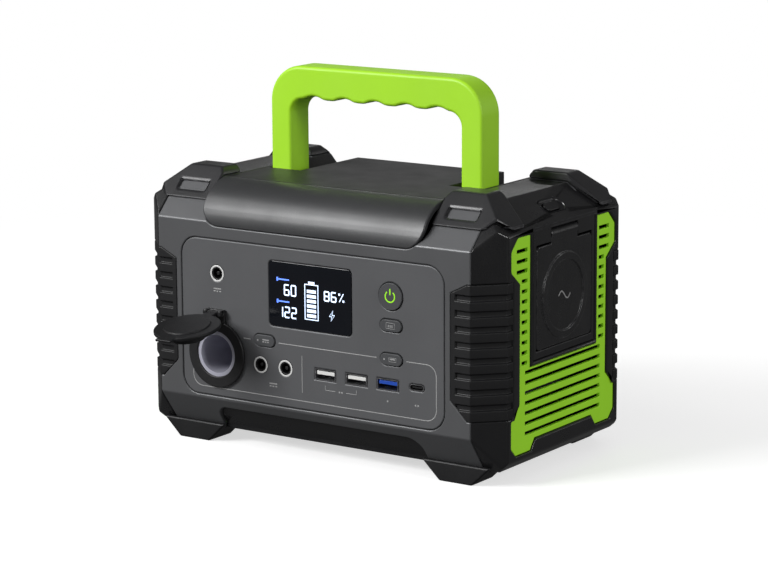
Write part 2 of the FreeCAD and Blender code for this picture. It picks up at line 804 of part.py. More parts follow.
# ---------------------------------------------------------------- end caps, grilles
def vent_outline(grow):
    """The grille's waisted outline; the end cap's window is the same one, grown by a clearance."""
    wide = vent_half + grow
    waist = vent_waist + grow
    low = vent_low - grow
    high = vent_high + grow
    arch = arch_half - grow
    right = [
        (arch, low + arch_rise), (arch + arch_run, low), (wide - vent_foot_cut, low),
        (wide, low + vent_foot_cut), (wide, waist_low - waist_run), (waist, waist_low),
        (waist, waist_high), (wide, waist_high + waist_rise), (wide, high - vent_top_cut),
        (wide - vent_top_cut, high),
    ]
    points = right + [(-y, z) for y, z in reversed(right)]
    return [(as_size(y), as_size(z)) for y, z in points]


def outlet_notch(name, grow):
    """The middle of the grille, left to the AC outlet."""
    side = vent_column - grow
    return box(
        name, (half_wide - wall - margin, wide_high), (-side, side),
        (outlet_low - (vent_column - outlet_half) + grow, tall_high))


def vent_window(name, with_outlet):
    window = along_x(f"{name}_outline", half_wide - wall - margin, wide_high,
                     polygon(vent_outline(seam)))
    if not with_outlet:
        return window
    columns = cut(f"{name}_columns", window, outlet_notch(f"{name}_notch", seam))
    hole = box(
        f"{name}_hole", (half_wide - wall - margin, wide_high),
        (-outlet_half - seam, outlet_half + seam), (outlet_low - seam, outlet_high + seam))
    return joined(name, [columns, hole])


def end_region(name):
    side = box(f"{name}_side", (face_half, wide_high), (front - margin, back + margin),
               (tall_low, tall_high))
    saddle = box(
        f"{name}_saddle", (deck_half, face_half + 1), (-saddle_half, saddle_half),
        (deck_height - shoulder_cut, tall_high))
    return joined(name, [side, saddle])


def slope_point(x):
    """Height of the end slope over a place along X."""
    return deck_height - (x - half_wide + end_slope_run) * end_slope_rise / end_slope_run


slope_angle = math.degrees(math.atan2(end_slope_rise.value, end_slope_run.value))


ac_button_x = half_wide - ac_button_inset


def on_slope(name, body):
    """Turns and moves a body from the origin to the AC button's place on the end slope."""
    turn = FreeCAD.Rotation(FreeCAD.Vector(0, 1, 0), slope_angle)
    body.Placement = FreeCAD.Placement(FreeCAD.Vector(), turn)
    move(body, ac_button_x, ac_button_y, slope_point(ac_button_x))
    return body


def side_slot(length, wide):
    """A slot outline lying along Y in a sketch on the XY plane."""
    return rounded(-wide / 2, wide / 2, -length / 2, length / 2, wide / 2 - tight)


button_recess = on_slope("ac_recess", along_z(
    "ac_recess", -1, margin, side_slot(ac_button_long + 2 * finger_room, ac_button_wide + finger_room)))
button_hole = on_slope("ac_hole", along_z(
    "ac_hole", -2 * margin, margin,
    side_slot(ac_button_long + 2 * button_gap, ac_button_wide + 2 * button_gap)))

cap_blank = common("cap_blank", skin, end_region("cap_region"))
end_cap_right = cut(
    "end_cap_right_body", cap_blank, bumper_pockets, vent_window("right_window", True),
    button_recess, button_hole)
keep("end_cap_right", end_cap_right)
end_cap_left = mirrored_x("end_cap_left_body", cut(
    "end_cap_left_blank", cap_blank, bumper_pockets, vent_window("left_window", False)))
keep("end_cap_left", end_cap_left)


def slots(name, first, count, half):
    """Rows of through slots, one above the other, half as long as given on each side."""
    rows = []
    for row in range(count):
        z = slot_first + (first + row) * slot_pitch
        rows.append(box(
            f"{name}_{row}", (half_wide - wall - margin, wide_high),
            (-half, half), (z - slot_tall / 2, z + slot_tall / 2)))
    return rows


def stubs(name, first, count, inner, outer):
    """Rows of short slots on both sides."""
    rows = []
    for row in range(count):
        z = slot_first + (first + row) * slot_pitch
        for side, limits in (("a", (inner, outer)), ("b", (-outer, -inner))):
            rows.append(box(
                f"{name}_{row}_{side}", (half_wide - wall - margin, wide_high),
                limits, (z - slot_tall / 2, z + slot_tall / 2)))
    return rows


vent_face = half_wide - vent_sink
vent_plate = along_x("vent_plate", vent_face - vent_thick, vent_face, polygon(vent_outline(0)))
low_rows = 7
stub_rows = 9
long_rows = 3
slot_half = vent_waist - slot_edge
stub_inner = vent_column + stub_edge
vent_right = cut(
    "vent_right_body", cut("vent_right_blank", vent_plate, outlet_notch("vent_right_notch", 0)),
    grouped("vent_right_slots", slots("low_slot", 0, low_rows, slot_half)
            + stubs("stub", low_rows, stub_rows, stub_inner, vent_waist - stub_end)
            + stubs("long_stub", low_rows + stub_rows, long_rows, stub_inner, vent_half - long_stub_end)))
keep("vent_grille_right", vent_right)
vent_left = mirrored_x("vent_left_body", cut(
    "vent_left_blank", vent_plate,
    grouped("vent_left_slots", slots("left_slot", 0, low_rows + stub_rows + long_rows, slot_half))))
keep("vent_grille_left", vent_left)


# ---------------------------------------------------------------- rubber corners, guards, feet
def rib_gaps(name):
    count = 8
    first = bumper_low + (bumper_high - bumper_low - (count - 1) * rib_pitch) / 2
    gaps = []
    for row in range(count):
        z = first + row * rib_pitch
        gaps.append(box(
            f"{name}_{row}", (bumper_face + 3, wide_high), (front - margin, 0),
            (z - rib_gap / 2, z + rib_gap / 2)))
    return grouped(name, gaps)


rib_layer = cut("rib_layer", outside, envelope("rib_floor", rib_depth))
bumper = cut("bumper_ribbed", bumper_solid, common("rib_cuts", rib_layer, rib_gaps("rib_gaps")))

guard_edge = half_deep - guard_toe
guard_side = polygon([
    (-guard_edge, deck_height - guard_toe - margin * 2),
    (-guard_edge, deck_height + guard_proud - (guard_edge - half_deep + shoulder_cut + guard_lean)),
    (-half_deep + shoulder_cut + guard_lean, deck_height + guard_proud),
    (-saddle_half, deck_height + guard_proud),
    (-saddle_half, deck_height - guard_toe - margin * 2),
])
guard_reach = half_wide - guard_end_gap
guard_end = polygon([
    (deck_half + seam, deck_height - shoulder_cut),
    (deck_half + seam, deck_height + guard_proud - guard_lean),
    (deck_half + guard_lean, deck_height + guard_proud),
    (half_wide - end_slope_run, deck_height + guard_proud),
    (guard_reach, slope_point(guard_reach) + guard_lean),
    (guard_reach, slope_point(guard_reach)),
    (guard_reach, deck_height - shoulder_cut),
])
guard_plan = polygon([
    (deck_half + seam, -guard_edge),
    (guard_reach - guard_corner, -guard_edge),
    (guard_reach, -guard_edge + guard_corner),
    (guard_reach, -saddle_half - guard_notch),
    (half_wide - end_slope_run + guard_lean, -saddle_half),
    (deck_half + seam, -saddle_half),
])
guard_low = deck_height - guard_toe - guard_lean
guard = cut(
    "guard_body",
    common(
        "guard_blank",
        along_x("guard_side", deck_half, half_wide, guard_side),
        along_y("guard_end", -half_deep, 0, guard_end),
        along_z("guard_plan", guard_low, deck_height + 2 * margin, guard_plan)),
    outside,
    along_y("guard_slot", front, front + guard_slot_deep, rounded(
        deck_half + guard_notch, half_wide - end_slope_run + 1, guard_slot_low,
        guard_slot_low + guard_slot_tall, guard_slot_corner)),
)

foot_high = base_height + foot_lap
foot_top_half = foot_half + foot_flare
foot_block = along_y("foot_block", -foot_y - foot_deep / 2, foot_deep / 2 - foot_y, polygon([
    (foot_x - foot_top_half, foot_high), (foot_x - foot_half, 0), (foot_x + foot_half, 0),
    (foot_x + foot_top_half, foot_high)]))
foot = cut(
    "foot_body", foot_block, outside,
    rod("foot_sink", "z", screw_head + 4 * head_gap, (foot_x, -foot_y, 0), foot_sink),
    rod("foot_hole", "z", screw_radius + head_gap, (foot_x, -foot_y, 0), base_height))


def four_corners(label, source):
    """One copy of a corner piece for each corner of the casing."""
    keep(f"{label}_front_right", source)
    keep(f"{label}_front_left", mirrored_x(f"{label}_fl", source))
    back_right = mirrored_y(f"{label}_br", source)
    keep(f"{label}_rear_right", back_right)
    keep(f"{label}_rear_left", mirrored_x(f"{label}_bl", back_right))


four_corners("bumper", bumper)
four_corners("guard", guard)
four_corners("foot", foot)


def screw(name, axis, start, length, forward):
    """A screw with a round head, from its seat; forward is 1 when its point lies along the positive axis."""
    tip = [place + (0 if forward > 0 or label != axis else -length) for label, place in zip("xyz", start)]
    top = [place + (0 if forward < 0 or label != axis else -head_thick) for label, place in zip("xyz", start)]
    return joined(name, [
        rod(f"{name}_head", axis, screw_head, top, head_thick),
        rod(f"{name}_shank", axis, screw_radius - running_gap, tip, length)])


foot_screws = [
    screw(f"foot_screw_{index}", "z", (sx * foot_x, sy * foot_y, foot_sink), boss_top - foot_sink, 1)
    for index, (sx, sy) in enumerate(foot_places)
]
screw_seat = back - screw_sink
case_screws = [
    screw(f"case_screw_{sx}_{index}", "y", (sx * post_x, screw_seat, z), post_pilot, -1)
    for sx in (-1, 1) for index, z in enumerate((post_low, post_high))
]
keep("case_screws", grouped("case_screw_set", foot_screws + case_screws))

# ---------------------------------------------------------------- deck with its handle channels
leg_outer = handle_wide / 2
leg_inner = leg_outer - handle_leg
channel_outer = leg_outer + fold_gap
tray_half = deck_half - seam
channel_front = -handle_deep / 2 - fold_gap
grip_inner = handle_top - handle_grip - finger_depth - hinge_height
well_front = grip_inner - fold_gap - seam
deck_front = front + roll_radius + seam
deck_blank = box("deck_blank", (-tray_half, tray_half), (deck_front, back),
                 (tray_low, deck_height))
deck_cuts = [
    box("well_cut", (-channel_outer, channel_outer), (well_front, back + margin),
        (well_floor, tall_high)),
    box("hollow_middle", (-plate_half + wall, plate_half - wall), (deck_front + wall, well_front - wall),
        (tray_low - margin, deck_height - wall)),
    box("hollow_front", (-tray_half + wall, tray_half - wall),
        (deck_front + wall, channel_front - wall), (tray_low - margin, deck_height - wall)),
]
for side in (-1, 1):
    limits = (plate_half, channel_outer) if side > 0 else (-channel_outer, -plate_half)
    deck_cuts.append(box(f"channel_{side}", limits, (channel_front, back + margin),
                         (well_floor, tall_high)))
    start = plate_half - wall - 1 if side > 0 else -tray_half - 1
    deck_cuts.append(rod(f"pin_hole_{side}", "x", hinge_pin + running_gap / 2,
                         (start, 0, hinge_height), tray_half - plate_half + wall + 2))
keep("top_cover", common("top_cover_body", cut("deck_body", deck_blank, *deck_cuts), outside))

roll_middle = front + roll_radius
roll_ring = tube("roll_ring", "x", roll_radius, roll_radius - wall,
                 (-tray_half, roll_middle, roll_low), 2 * tray_half)
keep("front_roll", common(
    "front_roll_body", roll_ring,
    box("roll_quarter", (-tray_half, tray_half), (front, roll_middle), (roll_low, deck_height)),
    along_y("roll_outline", front, roll_middle, rounded(
        -tray_half, tray_half, roll_low, tall_high + roll_radius, roll_corner))))

# ---------------------------------------------------------------- handle
leg_foot = hinge_height - handle_deep / 2
grip_low = handle_top - handle_grip
handle = along_y("handle_body", -handle_deep / 2, handle_deep / 2, polygon([
    (-leg_outer, leg_foot), (-leg_outer, handle_top), (leg_outer, handle_top), (leg_outer, leg_foot),
    (leg_inner, leg_foot), (leg_inner, grip_low), (-leg_inner, grip_low), (-leg_inner, leg_foot)]))


def lies_along_y(edge, x, z):
    limits = edge.BoundBox
    return (limits.XLength < tight.value and limits.ZLength < tight.value
            and abs(abs(limits.XMin) - x) < tight.value and abs(limits.ZMin - z) < tight.value)


round_edges(handle, "handle_outer_corners", handle_corner,
            lambda e: lies_along_y(e, leg_outer.value, handle_top.value))
round_edges(handle, "handle_inner_corners", handle_inner_corner,
            lambda e: lies_along_y(e, leg_inner.value, grip_low.value))
round_edges(handle, "handle_leg_ends", handle_deep / 2 - 5 * tight,
            lambda e: e.BoundBox.ZMax < leg_foot.value + tight.value
            and e.BoundBox.XLength > handle_leg.value / 2)
pocket(handle, "handle_bores", "YZ_Plane", -leg_outer - 1, leg_outer + 1,
       circle(0, hinge_height, hinge_pin + running_gap))
grip_scoops = []
finger_count = 5
for finger in range(finger_count):
    place = (finger - (finger_count - 1) / 2) * finger_pitch
    grip_scoops.append(rod(
        f"finger_{finger}", "y", finger_radius,
        (place, -handle_deep, grip_low - finger_radius + finger_depth), 2 * handle_deep))
keep("handle", cut("handle_scooped", handle, grouped("finger_scoops", grip_scoops)))

pins = [
    rod(f"hinge_pin_{side}", "x", hinge_pin,
        (plate_half - wall if side > 0 else -tray_half, 0, hinge_height),
        tray_half - plate_half + wall)
    for side in (-1, 1)
]
keep("handle_pins", grouped("handle_pin_pair", pins))

# ---------------------------------------------------------------- control panel and its ports
panel = along_y("control_panel_blank", panel_front, panel_back, rounded(
    -panel_half, panel_half, panel_low, panel_high, panel_corner))
board_half = panel_half - panel_ledge - 2 * board_margin
board_low = panel_low + panel_ledge + board_margin
board_high = panel_high - panel_ledge - board_margin
post_edge = board_post + board_margin / 2
board_posts = [
    rod(f"board_post_{sx}_{index}", "y", board_post, (sx * (board_half - post_edge), panel_front + 1, z),
        board_face - panel_front - 1)
    for sx in (-1, 1) for index, z in enumerate((board_low + post_edge, board_high - post_edge))
    if sx > 0 or index > 0
]
panel_holes = [
    rod(f"{name}_hole", "y", jack_radius + port_gap, (x, front - 1, z), margin)
    for name, (x, z) in jacks.items()
]
panel_holes += [
    box(f"{name}_hole", (x - usb_wide / 2 - port_gap, x + usb_wide / 2 + port_gap),
        (front - 1, front + margin),
        (usb_z - usb_tall / 2 - port_gap, usb_z + usb_tall / 2 + port_gap))
    for name, x in usb_places.items()
]
panel_holes.append(along_y("usb_c_hole", front - 1, front + margin, slot(
    usb_c_x, usb_c_z, usb_c_wide + 2 * port_gap, usb_c_tall + 2 * port_gap)))
panel_holes += [
    along_y(f"{name}_hole", front - 1, front + margin, slot(
        x, z, pill_wide + 2 * button_gap, pill_tall + 2 * button_gap))
    for name, (x, z) in pills.items()
]
panel_holes.append(rod("power_hole", "y", power_radius + button_gap,
                       (power_x, front - 1, power_z), margin))
panel_holes.append(rod("socket_hole", "y", socket_bore + socket_wall + port_gap,
                       (socket_x, front - 1, socket_z), margin))
display_left = display_x - display_wide / 2
display_right = display_x + display_wide / 2
display_low = display_z - display_tall / 2
display_high = display_z + display_tall / 2
panel_holes.append(along_y("display_hole", front - 1, front + margin, rounded(
    display_left - port_gap, display_right + port_gap, display_low - port_gap,
    display_high + port_gap, display_corner)))
keep("control_panel", cut(
    "control_panel_body", joined("control_panel_posts", [panel, *board_posts]), *panel_holes))

keep("display_window", along_y("display_window_body", panel_front, panel_back, rounded(
    display_left, display_right, display_low, display_high, display_corner)))
module = box("module_box", (display_left - 1, display_right + 1),
             (panel_back + module_gap, panel_back + module_deep), (display_low - 1, display_high + 1))
module_legs = [
    rod(f"module_leg_{index}", "y", pin_radius, (x, panel_back + module_deep - 1, z),
        board_face - panel_back - module_deep + 1)
    for index, (x, z) in enumerate(
        (x, z) for x in (display_left + 2, display_right - 2) for z in (display_low + 2, display_high - 2))
]
keep("display_module", joined("display_module_body", [module, *module_legs]))


def jack(name, x, z):
    shell = rod(f"{name}_shell", "y", jack_radius, (x, panel_front, z), board_face - panel_front)
    bore = rod(f"{name}_bore", "y", jack_bore, (x, panel_front - 1, z), jack_deep + 1)
    pin = rod(f"{name}_pin", "y", jack_pin, (x, panel_front + 1, z), jack_deep + 1)
    return joined(f"{name}_body", [cut(f"{name}_cup", shell, bore), pin])


for jack_name, (jack_x, jack_z) in jacks.items():
    keep(jack_name, jack(jack_name, jack_x, jack_z))


def usb_shell(name, x):
    low = usb_z - usb_tall / 2
    high = usb_z + usb_tall / 2
    outer = box(f"{name}_outer", (x - usb_wide / 2, x + usb_wide / 2),
                (panel_front, board_face), (low, high))
    inner = box(
        f"{name}_inner", (x - usb_wide / 2 + usb_wall, x + usb_wide / 2 - usb_wall),
        (panel_front - 1, board_face - usb_wall), (low + usb_wall, high - usb_wall))
    return cut(f"{name}_body", outer, inner)


def usb_tongue(name, x):
    high = usb_z + usb_tall / 2 - usb_wall - tongue_gap
    return box(name, (x - tongue_half, x + tongue_half), (panel_front + tongue_sink, board_face - usb_wall),
               (high - tongue_thick, high))


keep("usb_shells", grouped("usb_shell_set", [usb_shell(n, x) for n, x in usb_places.items()]))
keep("usb_tongues", grouped("usb_tongue_pair", [
    usb_tongue("tongue_left", usb_places["usb_port_left"]),
    usb_tongue("tongue_middle", usb_places["usb_port_middle"])]))
keep("usb_fast_tongue", usb_tongue("tongue_fast", usb_places["usb_port_fast"]))
usb_c = cut(
    "usb_c_body",
    along_y("usb_c_outer", panel_front, board_face, slot(usb_c_x, usb_c_z, usb_c_wide, usb_c_tall)),
    along_y("usb_c_inner", panel_front - 1, board_face - usb_wall, slot(
        usb_c_x, usb_c_z, usb_c_wide - 2 * usb_wall, usb_c_tall - 2 * usb_wall)))
keep("usb_c_shell", usb_c)
keep("usb_c_tongue", box(
    "usb_c_tongue_body", (usb_c_x - usb_c_tongue_half, usb_c_x + usb_c_tongue_half),
    (panel_front + tongue_sink, board_face - usb_wall),
    (usb_c_z - usb_c_tongue_thick / 2, usb_c_z + usb_c_tongue_thick / 2)))

# ---------------------------------------------------------------- buttons and their switches
flange_front = panel_back + port_gap
plunger_face = board_face - switch_tall
switch_face = plunger_face + button_travel + button_gap


def pill_button(name, x, z):
    cap = along_y(f"{name}_cap", front - button_proud, flange_front + flange_thick,
                  slot(x, z, pill_wide, pill_tall))
    flange = along_y(f"{name}_flange", flange_front, flange_front + flange_thick,
                     slot(x, z, pill_wide + 2 * flange_lap, pill_tall + 2 * flange_lap))
    stem = rod(f"{name}_stem", "y", stem_radius, (x, flange_front, z), plunger_face - flange_front)
    return joined(f"{name}_body", [cap, flange, stem])


for pill_name, (pill_x, pill_z) in pills.items():
    keep(pill_name, pill_button(pill_name, pill_x, pill_z))
keep("power_button", joined("power_button_body", [
    rod("power_cap", "y", power_radius, (power_x, front - button_proud, power_z),
        flange_front + flange_thick - front + button_proud),
    rod("power_flange", "y", power_radius + flange_lap, (power_x, flange_front, power_z), flange_thick),
    rod("power_stem", "y", stem_radius, (power_x, flange_front, power_z), plunger_face - flange_front)]))
switch_places = [*pills.values(), (power_x, power_z)]
keep("tact_switches", grouped("tact_switch_set", [
    joined(f"tact_{index}", [
        box(f"tact_{index}_base", (x - switch_half, x + switch_half), (board_face - switch_base, board_face),
            (z - switch_half, z + switch_half)),
        rod(f"tact_{index}_plunger", "y", plunger_radius, (x, switch_face, z), board_face - 1 - switch_face)])
    for index, (x, z) in enumerate(switch_places)]))

board = along_y("control_board_blank", board_face, board_back, rounded(
    -board_half, board_half, board_low, board_high, board_margin))
# middle of each chip on the board's back
chip_places = ((-14, 86), (12, 87), (38, 75), (25, 49), (49, 92))
chips = [
    box(f"chip_{index}", (x - chip_half, x + chip_half), (board_back - 1, board_back + chip_thick),
        (z - chip_half, z + chip_half))
    for index, (x, z) in enumerate(chip_places)
]
keep("control_board", cut(
    "control_board_body", joined("control_board_chips", [board, *chips]),
    rod("board_socket_hole", "y", socket_bore + socket_wall + 3, (socket_x, board_face - 1, socket_z), 6),
    box("board_corner", (-board_half - 1, socket_x), (board_face - 1, board_back + 5),
        (board_low - 1, socket_z + 2))))

# ---------------------------------------------------------------- car socket with its rubber cap
socket_outer = socket_bore + socket_wall
socket_front = panel_front - barrel_proud
socket_back = front + socket_deep
barrel = cut(
    "socket_barrel_body",
    rod("barrel_outer", "y", socket_outer, (socket_x, socket_front, socket_z),
        socket_back + end_wall - socket_front),
    rod("barrel_bore", "y", socket_bore, (socket_x, socket_front - 1, socket_z),
        socket_back - socket_front + 1),
    rod("barrel_eye", "y", contact_radius + running_gap, (socket_x, socket_back - 1, socket_z), end_wall + 2))
keep("car_socket_barrel", barrel)
keep("car_socket_contact", joined("socket_contact_body", [
    rod("contact_head", "y", contact_radius, (socket_x, socket_back, socket_z), end_wall + 1),
    rod("contact_flange", "y", contact_radius + 2, (socket_x, socket_back + end_wall, socket_z),
        flange_tall),
    rod("contact_stud", "y", pin_radius, (socket_x, socket_back + end_wall, socket_z), stud_long)]))
keep("car_socket_nut", tube("socket_nut_body", "y", socket_outer + nut_wide, socket_outer + running_gap,
                            (socket_x, panel_back, socket_z), nut_thick))
ring_front = panel_front - ring_thick
tab_left = socket_x - tab_half
tab_right = socket_x + tab_half
hinge_y = ring_front - cap_knuckle - cap_gap
hinge_z = socket_z + socket_ring + ear_rise
ear_limits = ((hinge_y - ear_half, panel_front), (hinge_z - ear_half, hinge_z + ear_half))
ring_parts = [
    tube("ring_disc", "y", socket_ring, socket_outer + running_gap,
         (socket_x, ring_front, socket_z), ring_thick),
    box("ring_tab", (tab_left, tab_right), (ring_front, panel_front),
        (socket_z + socket_ring - 1, hinge_z + ear_half)),
    box("ear_left", (tab_left, tab_left + ear_wide), *ear_limits),
    box("ear_right", (tab_right - ear_wide, tab_right), *ear_limits),
]
keep("car_socket_ring", cut(
    "socket_ring_body", joined("socket_ring_blank", ring_parts),
    rod("cap_pin_hole", "x", cap_pin + running_gap, (tab_left - 1, hinge_y, hinge_z), 2 * tab_half + 2),
    rod("cap_knuckle_room", "x", cap_knuckle + cap_gap / 2, (tab_left + ear_wide, hinge_y, hinge_z),
        2 * (tab_half - ear_wide))))

# The cap is drawn closed over the socket, about its hinge at the origin, and then turned open.
drop = hinge_z - socket_z
lift = ring_front - hinge_y - cap_gap
cap_front = lift - cap_thick
knuckle_half = tab_half - ear_wide - cap_gap
plug_radius = socket_bore - socket_wall / 2
pull_low = -drop - socket_ring - 3
cap = joined("socket_cap_body", [
    rod("cap_disc", "y", socket_ring - 2 * cap_gap, (0, cap_front, -drop), cap_thick),
    rod("cap_rim", "y", cap_inner, (0, cap_front - cap_relief, -drop), 1),
    tube("cap_plug", "y", plug_radius, plug_radius - plug_wall, (0, lift - cap_gap / 2, -drop), plug_long),
    box("cap_strap", (-knuckle_half + cap_gap, knuckle_half - cap_gap), (cap_front, lift),
        (-drop + socket_ring - 3, 0)),
    rod("cap_knuckle", "x", cap_knuckle, (-knuckle_half, 0, 0), 2 * knuckle_half),
    rod("cap_pin", "x", cap_pin, (-tab_half + cap_gap, 0, 0), 2 * (tab_half - cap_gap)),
    box("cap_pull", (-pull_half, pull_half), (cap_front, cap_front + pull_thick),
        (pull_low, pull_low + pull_half)),
])
open_turn = FreeCAD.Rotation(FreeCAD.Vector(1, 0, 0), cap_angle.value)
cap.Placement = FreeCAD.Placement(FreeCAD.Vector(), open_turn)
move(cap, socket_x, hinge_y, hinge_z)
keep("car_socket_cap", cap)

# ---------------------------------------------------------------- AC outlet, its cover and button
outlet_front = half_wide - vent_sink + outlet_proud
outlet_back = outlet_front - outlet_deep
recess_floor = outlet_front - lid_thick - receptacle_sink
recess_half = lid_half + lid_gap
recess_low = lid_low - lid_gap
lid_pin_x = outlet_front - lid_thick - lid_pin_sink
ear_low = lid_high + lid_swing_gap
ear_inner = lid_knuckle_half + lid_gap
pin_reach = lid_knuckle_half + lid_pin_end
receptacle_z = lid_ring_z
housing_box = box("housing_box", (outlet_back, outlet_front), (-outlet_half, outlet_half),
                  (outlet_low, outlet_high))
housing_cuts = [
    box("lid_recess", (recess_floor, outlet_front + 1), (-recess_half, recess_half),
        (recess_low, ear_low)),
    box("knuckle_room", (lid_pin_x - lid_knuckle - lid_pin_sink, outlet_front + 1), (-ear_inner, ear_inner),
        (ear_low - 1, lid_pin_z + lid_knuckle + fit)),
    rod("lid_pin_hole", "y", lid_pin_radius + tight, (lid_pin_x, -pin_reach, lid_pin_z), 2 * pin_reach),
    box("receptacle_room", (outlet_back + wall, recess_floor + 1),
        (-receptacle_half - receptacle_gap, receptacle_half + receptacle_gap),
        (receptacle_z - receptacle_half - receptacle_gap, receptacle_z + receptacle_half + receptacle_gap)),
]
keep("ac_housing", cut("ac_housing_body", housing_box, *housing_cuts))

lid_face = outlet_front
lid_back = lid_face - lid_thick
lid = cut(
    "ac_cover_body",
    joined("ac_cover_blank", [
        along_x("lid_plate", lid_back, lid_face, rounded(
            -lid_half, lid_half, lid_low, lid_high, lid_corner)),
        tube("lid_ring", "x", lid_ring_radius, lid_ring_radius - lid_ring_wide,
             (lid_face - lid_ring_proud, 0, lid_ring_z), 2 * lid_ring_proud),
        box("lid_web", (lid_back, lid_face), (-lid_knuckle_half, lid_knuckle_half),
            (lid_high - 3, lid_pin_z)),
        rod("lid_knuckle", "y", lid_knuckle, (lid_pin_x, -lid_knuckle_half, lid_pin_z), 2 * lid_knuckle_half),
    ]),
    rod("lid_bore", "y", lid_pin_radius + running_gap, (lid_pin_x, -pin_reach, lid_pin_z), 2 * pin_reach))
keep("ac_cover", lid)
keep("ac_cover_pin", rod("ac_cover_pin_body", "y", lid_pin_radius,
                         (lid_pin_x, -pin_reach, lid_pin_z), 2 * pin_reach))

slot_back = recess_floor - contact_deep
receptacle_deep = outlet_deep - wall - lid_thick - receptacle_sink
receptacle_back = recess_floor - receptacle_deep + receptacle_gap
blade_low = receptacle_z - 1
slot_front = recess_floor + receptacle_proud + 1
receptacle = cut(
    "receptacle_body",
    along_x("receptacle_blank", receptacle_back, recess_floor + receptacle_proud, rounded(
        -receptacle_half, receptacle_half, receptacle_z - receptacle_half,
        receptacle_z + receptacle_half, receptacle_corner)),
    *[box(f"blade_slot_{side}", (slot_back, slot_front),
          (side * blade_gap - blade_slot / 2, side * blade_gap + blade_slot / 2),
          (blade_low, blade_low + blade_tall)) for side in (-1, 1)],
    rod("earth_slot", "x", earth_radius, (slot_back, 0, receptacle_z - earth_drop), slot_front - slot_back))
keep("ac_receptacle", receptacle)
contacts = [
    box(f"blade_contact_{side}", (slot_back, recess_floor - 1),
        (side * blade_gap - blade_slot / 2, side * blade_gap - blade_slot / 2 + contact_thick),
        (blade_low, blade_low + blade_tall))
    for side in (-1, 1)
]
contacts.append(tube("earth_contact", "x", earth_radius, earth_radius - contact_thick / 2,
                     (slot_back, 0, receptacle_z - earth_drop), contact_deep - 2))
keep("ac_contacts", grouped("ac_contact_set", contacts))

ac_button = joined("ac_button_body", [
    along_z("ac_button_cap", -wall - flange_thick, -2 * button_gap,
            side_slot(ac_button_long, ac_button_wide)),
    along_z("ac_button_flange", -wall - button_gap - flange_thick, -wall - button_gap,
            side_slot(ac_button_long + 2 * flange_lap, ac_button_wide + 2 * flange_lap)),
])
keep("ac_button", on_slope("ac_button", ac_button))

# ---------------------------------------------------------------- battery pack
columns = 7
rows = 3
cell_places = [
    ((column - (columns - 1) / 2) * cell_pitch, pack_y + (row - (rows - 1) / 2) * cell_pitch)
    for column in range(columns) for row in range(rows)
]


def cell_rods(name, radius, low, high):
    return [
        rod(f"{name}_{index}", "z", radius, (x, y, low), as_size(high) - low)
        for index, (x, y) in enumerate(cell_places)
    ]


cell_top = cell_base + cell_long
keep("battery_cells", grouped("battery_cell_set", cell_rods("cell", cell_radius, cell_base, cell_top)))
holder_half_x = cell_pitch * columns / 2 + holder_edge
holder_half_y = cell_pitch * rows / 2 + holder_edge


def holder(name, low, high):
    plate = box(f"{name}_plate", (-holder_half_x, holder_half_x),
                (pack_y - holder_half_y, pack_y + holder_half_y), (low, high))
    return cut(f"{name}_body", plate, grouped(
        f"{name}_holes", cell_rods(f"{name}_hole", cell_radius + running_gap, low - 1, as_size(high) + 1)))


keep("cell_holders", grouped("cell_holder_pair", [
    holder("holder_lower", cell_base + holder_rim, cell_base + holder_rim + holder_thick),
    holder("holder_upper", cell_top - holder_rim - holder_thick, cell_top - holder_rim)]))
strip_end = cell_pitch * (rows - 1) / 2 + strip_half + 1
strips = []
for column in range(columns):
    x = (column - (columns - 1) / 2) * cell_pitch
    for level, low in (("low", cell_base - strip_thick), ("high", cell_top)):
        strips.append(box(
            f"strip_{column}_{level}", (x - strip_half, x + strip_half),
            (pack_y - strip_end, pack_y + strip_end), (low, low + strip_thick)))
keep("nickel_strips", grouped("nickel_strip_set", strips))

# ---------------------------------------------------------------- inverter and fan
inverter_top = inverter_z + board_thick
sink_front = pack_y - sink_lead
leg_low = cell_top - holder_rim
inverter_legs = [
    rod(f"inverter_leg_{sx}_{sy}", "z", leg_radius,
        (sx * (holder_half_x - leg_radius - fit), pack_y + sy * (holder_half_y - leg_radius), leg_low),
        inverter_z + fit - leg_low)
    for sx in (-1, 1) for sy in (-1, 1)
]
capacitors = [
    rod(f"capacitor_{index}", "z", capacitor_radius,
        (x, pack_y + capacitor_shift, inverter_z + 1), capacitor_tall)
    for index, x in enumerate((-52, -37, -22))
]
power_chips = [
    box(f"power_chip_{index}", (x - power_chip_half, x + power_chip_half),
        (sink_front - power_chip_thick, sink_front), (inverter_z + 1, inverter_top + power_chip_tall))
    for index, x in enumerate((29, 42, 55))
]
keep("inverter_board", joined("inverter_board_body", [
    box("inverter_plate", (-inverter_half_x, inverter_half_x),
        (pack_y - inverter_half_y, pack_y + inverter_half_y), (inverter_z, inverter_top)),
    *inverter_legs, *capacitors, *power_chips]))
coil_y = pack_y - core_half_y
keep("transformer", joined("transformer_body", [
    box("transformer_core", (coil_x - core_half_x, coil_x + core_half_x),
        (coil_y - core_half_y, coil_y + core_half_y), (inverter_top, inverter_top + coil_tall)),
    box("transformer_coil", (coil_x - core_half_x + coil_step, coil_x + core_half_x - coil_step),
        (coil_y - core_half_y - coil_step, coil_y + core_half_y + coil_step),
        (inverter_top + sink_base, inverter_top + coil_tall - sink_base)),
]))
sink_limits = (sink_x - sink_half, sink_x + sink_half)
fins = []
for index in range(6):
    fin_front = sink_front + fin_lead + index * fin_pitch
    fins.append(box(f"fin_{index}", sink_limits, (fin_front, fin_front + fin_thick),
                    (inverter_top + sink_base - 1, inverter_top + fin_tall)))
keep("heatsink", joined("heatsink_body", [
    box("heatsink_base", sink_limits, (sink_front + module_gap, sink_front + 2 * fin_lead + fin_tall),
        (inverter_top, inverter_top + sink_base)), *fins]))

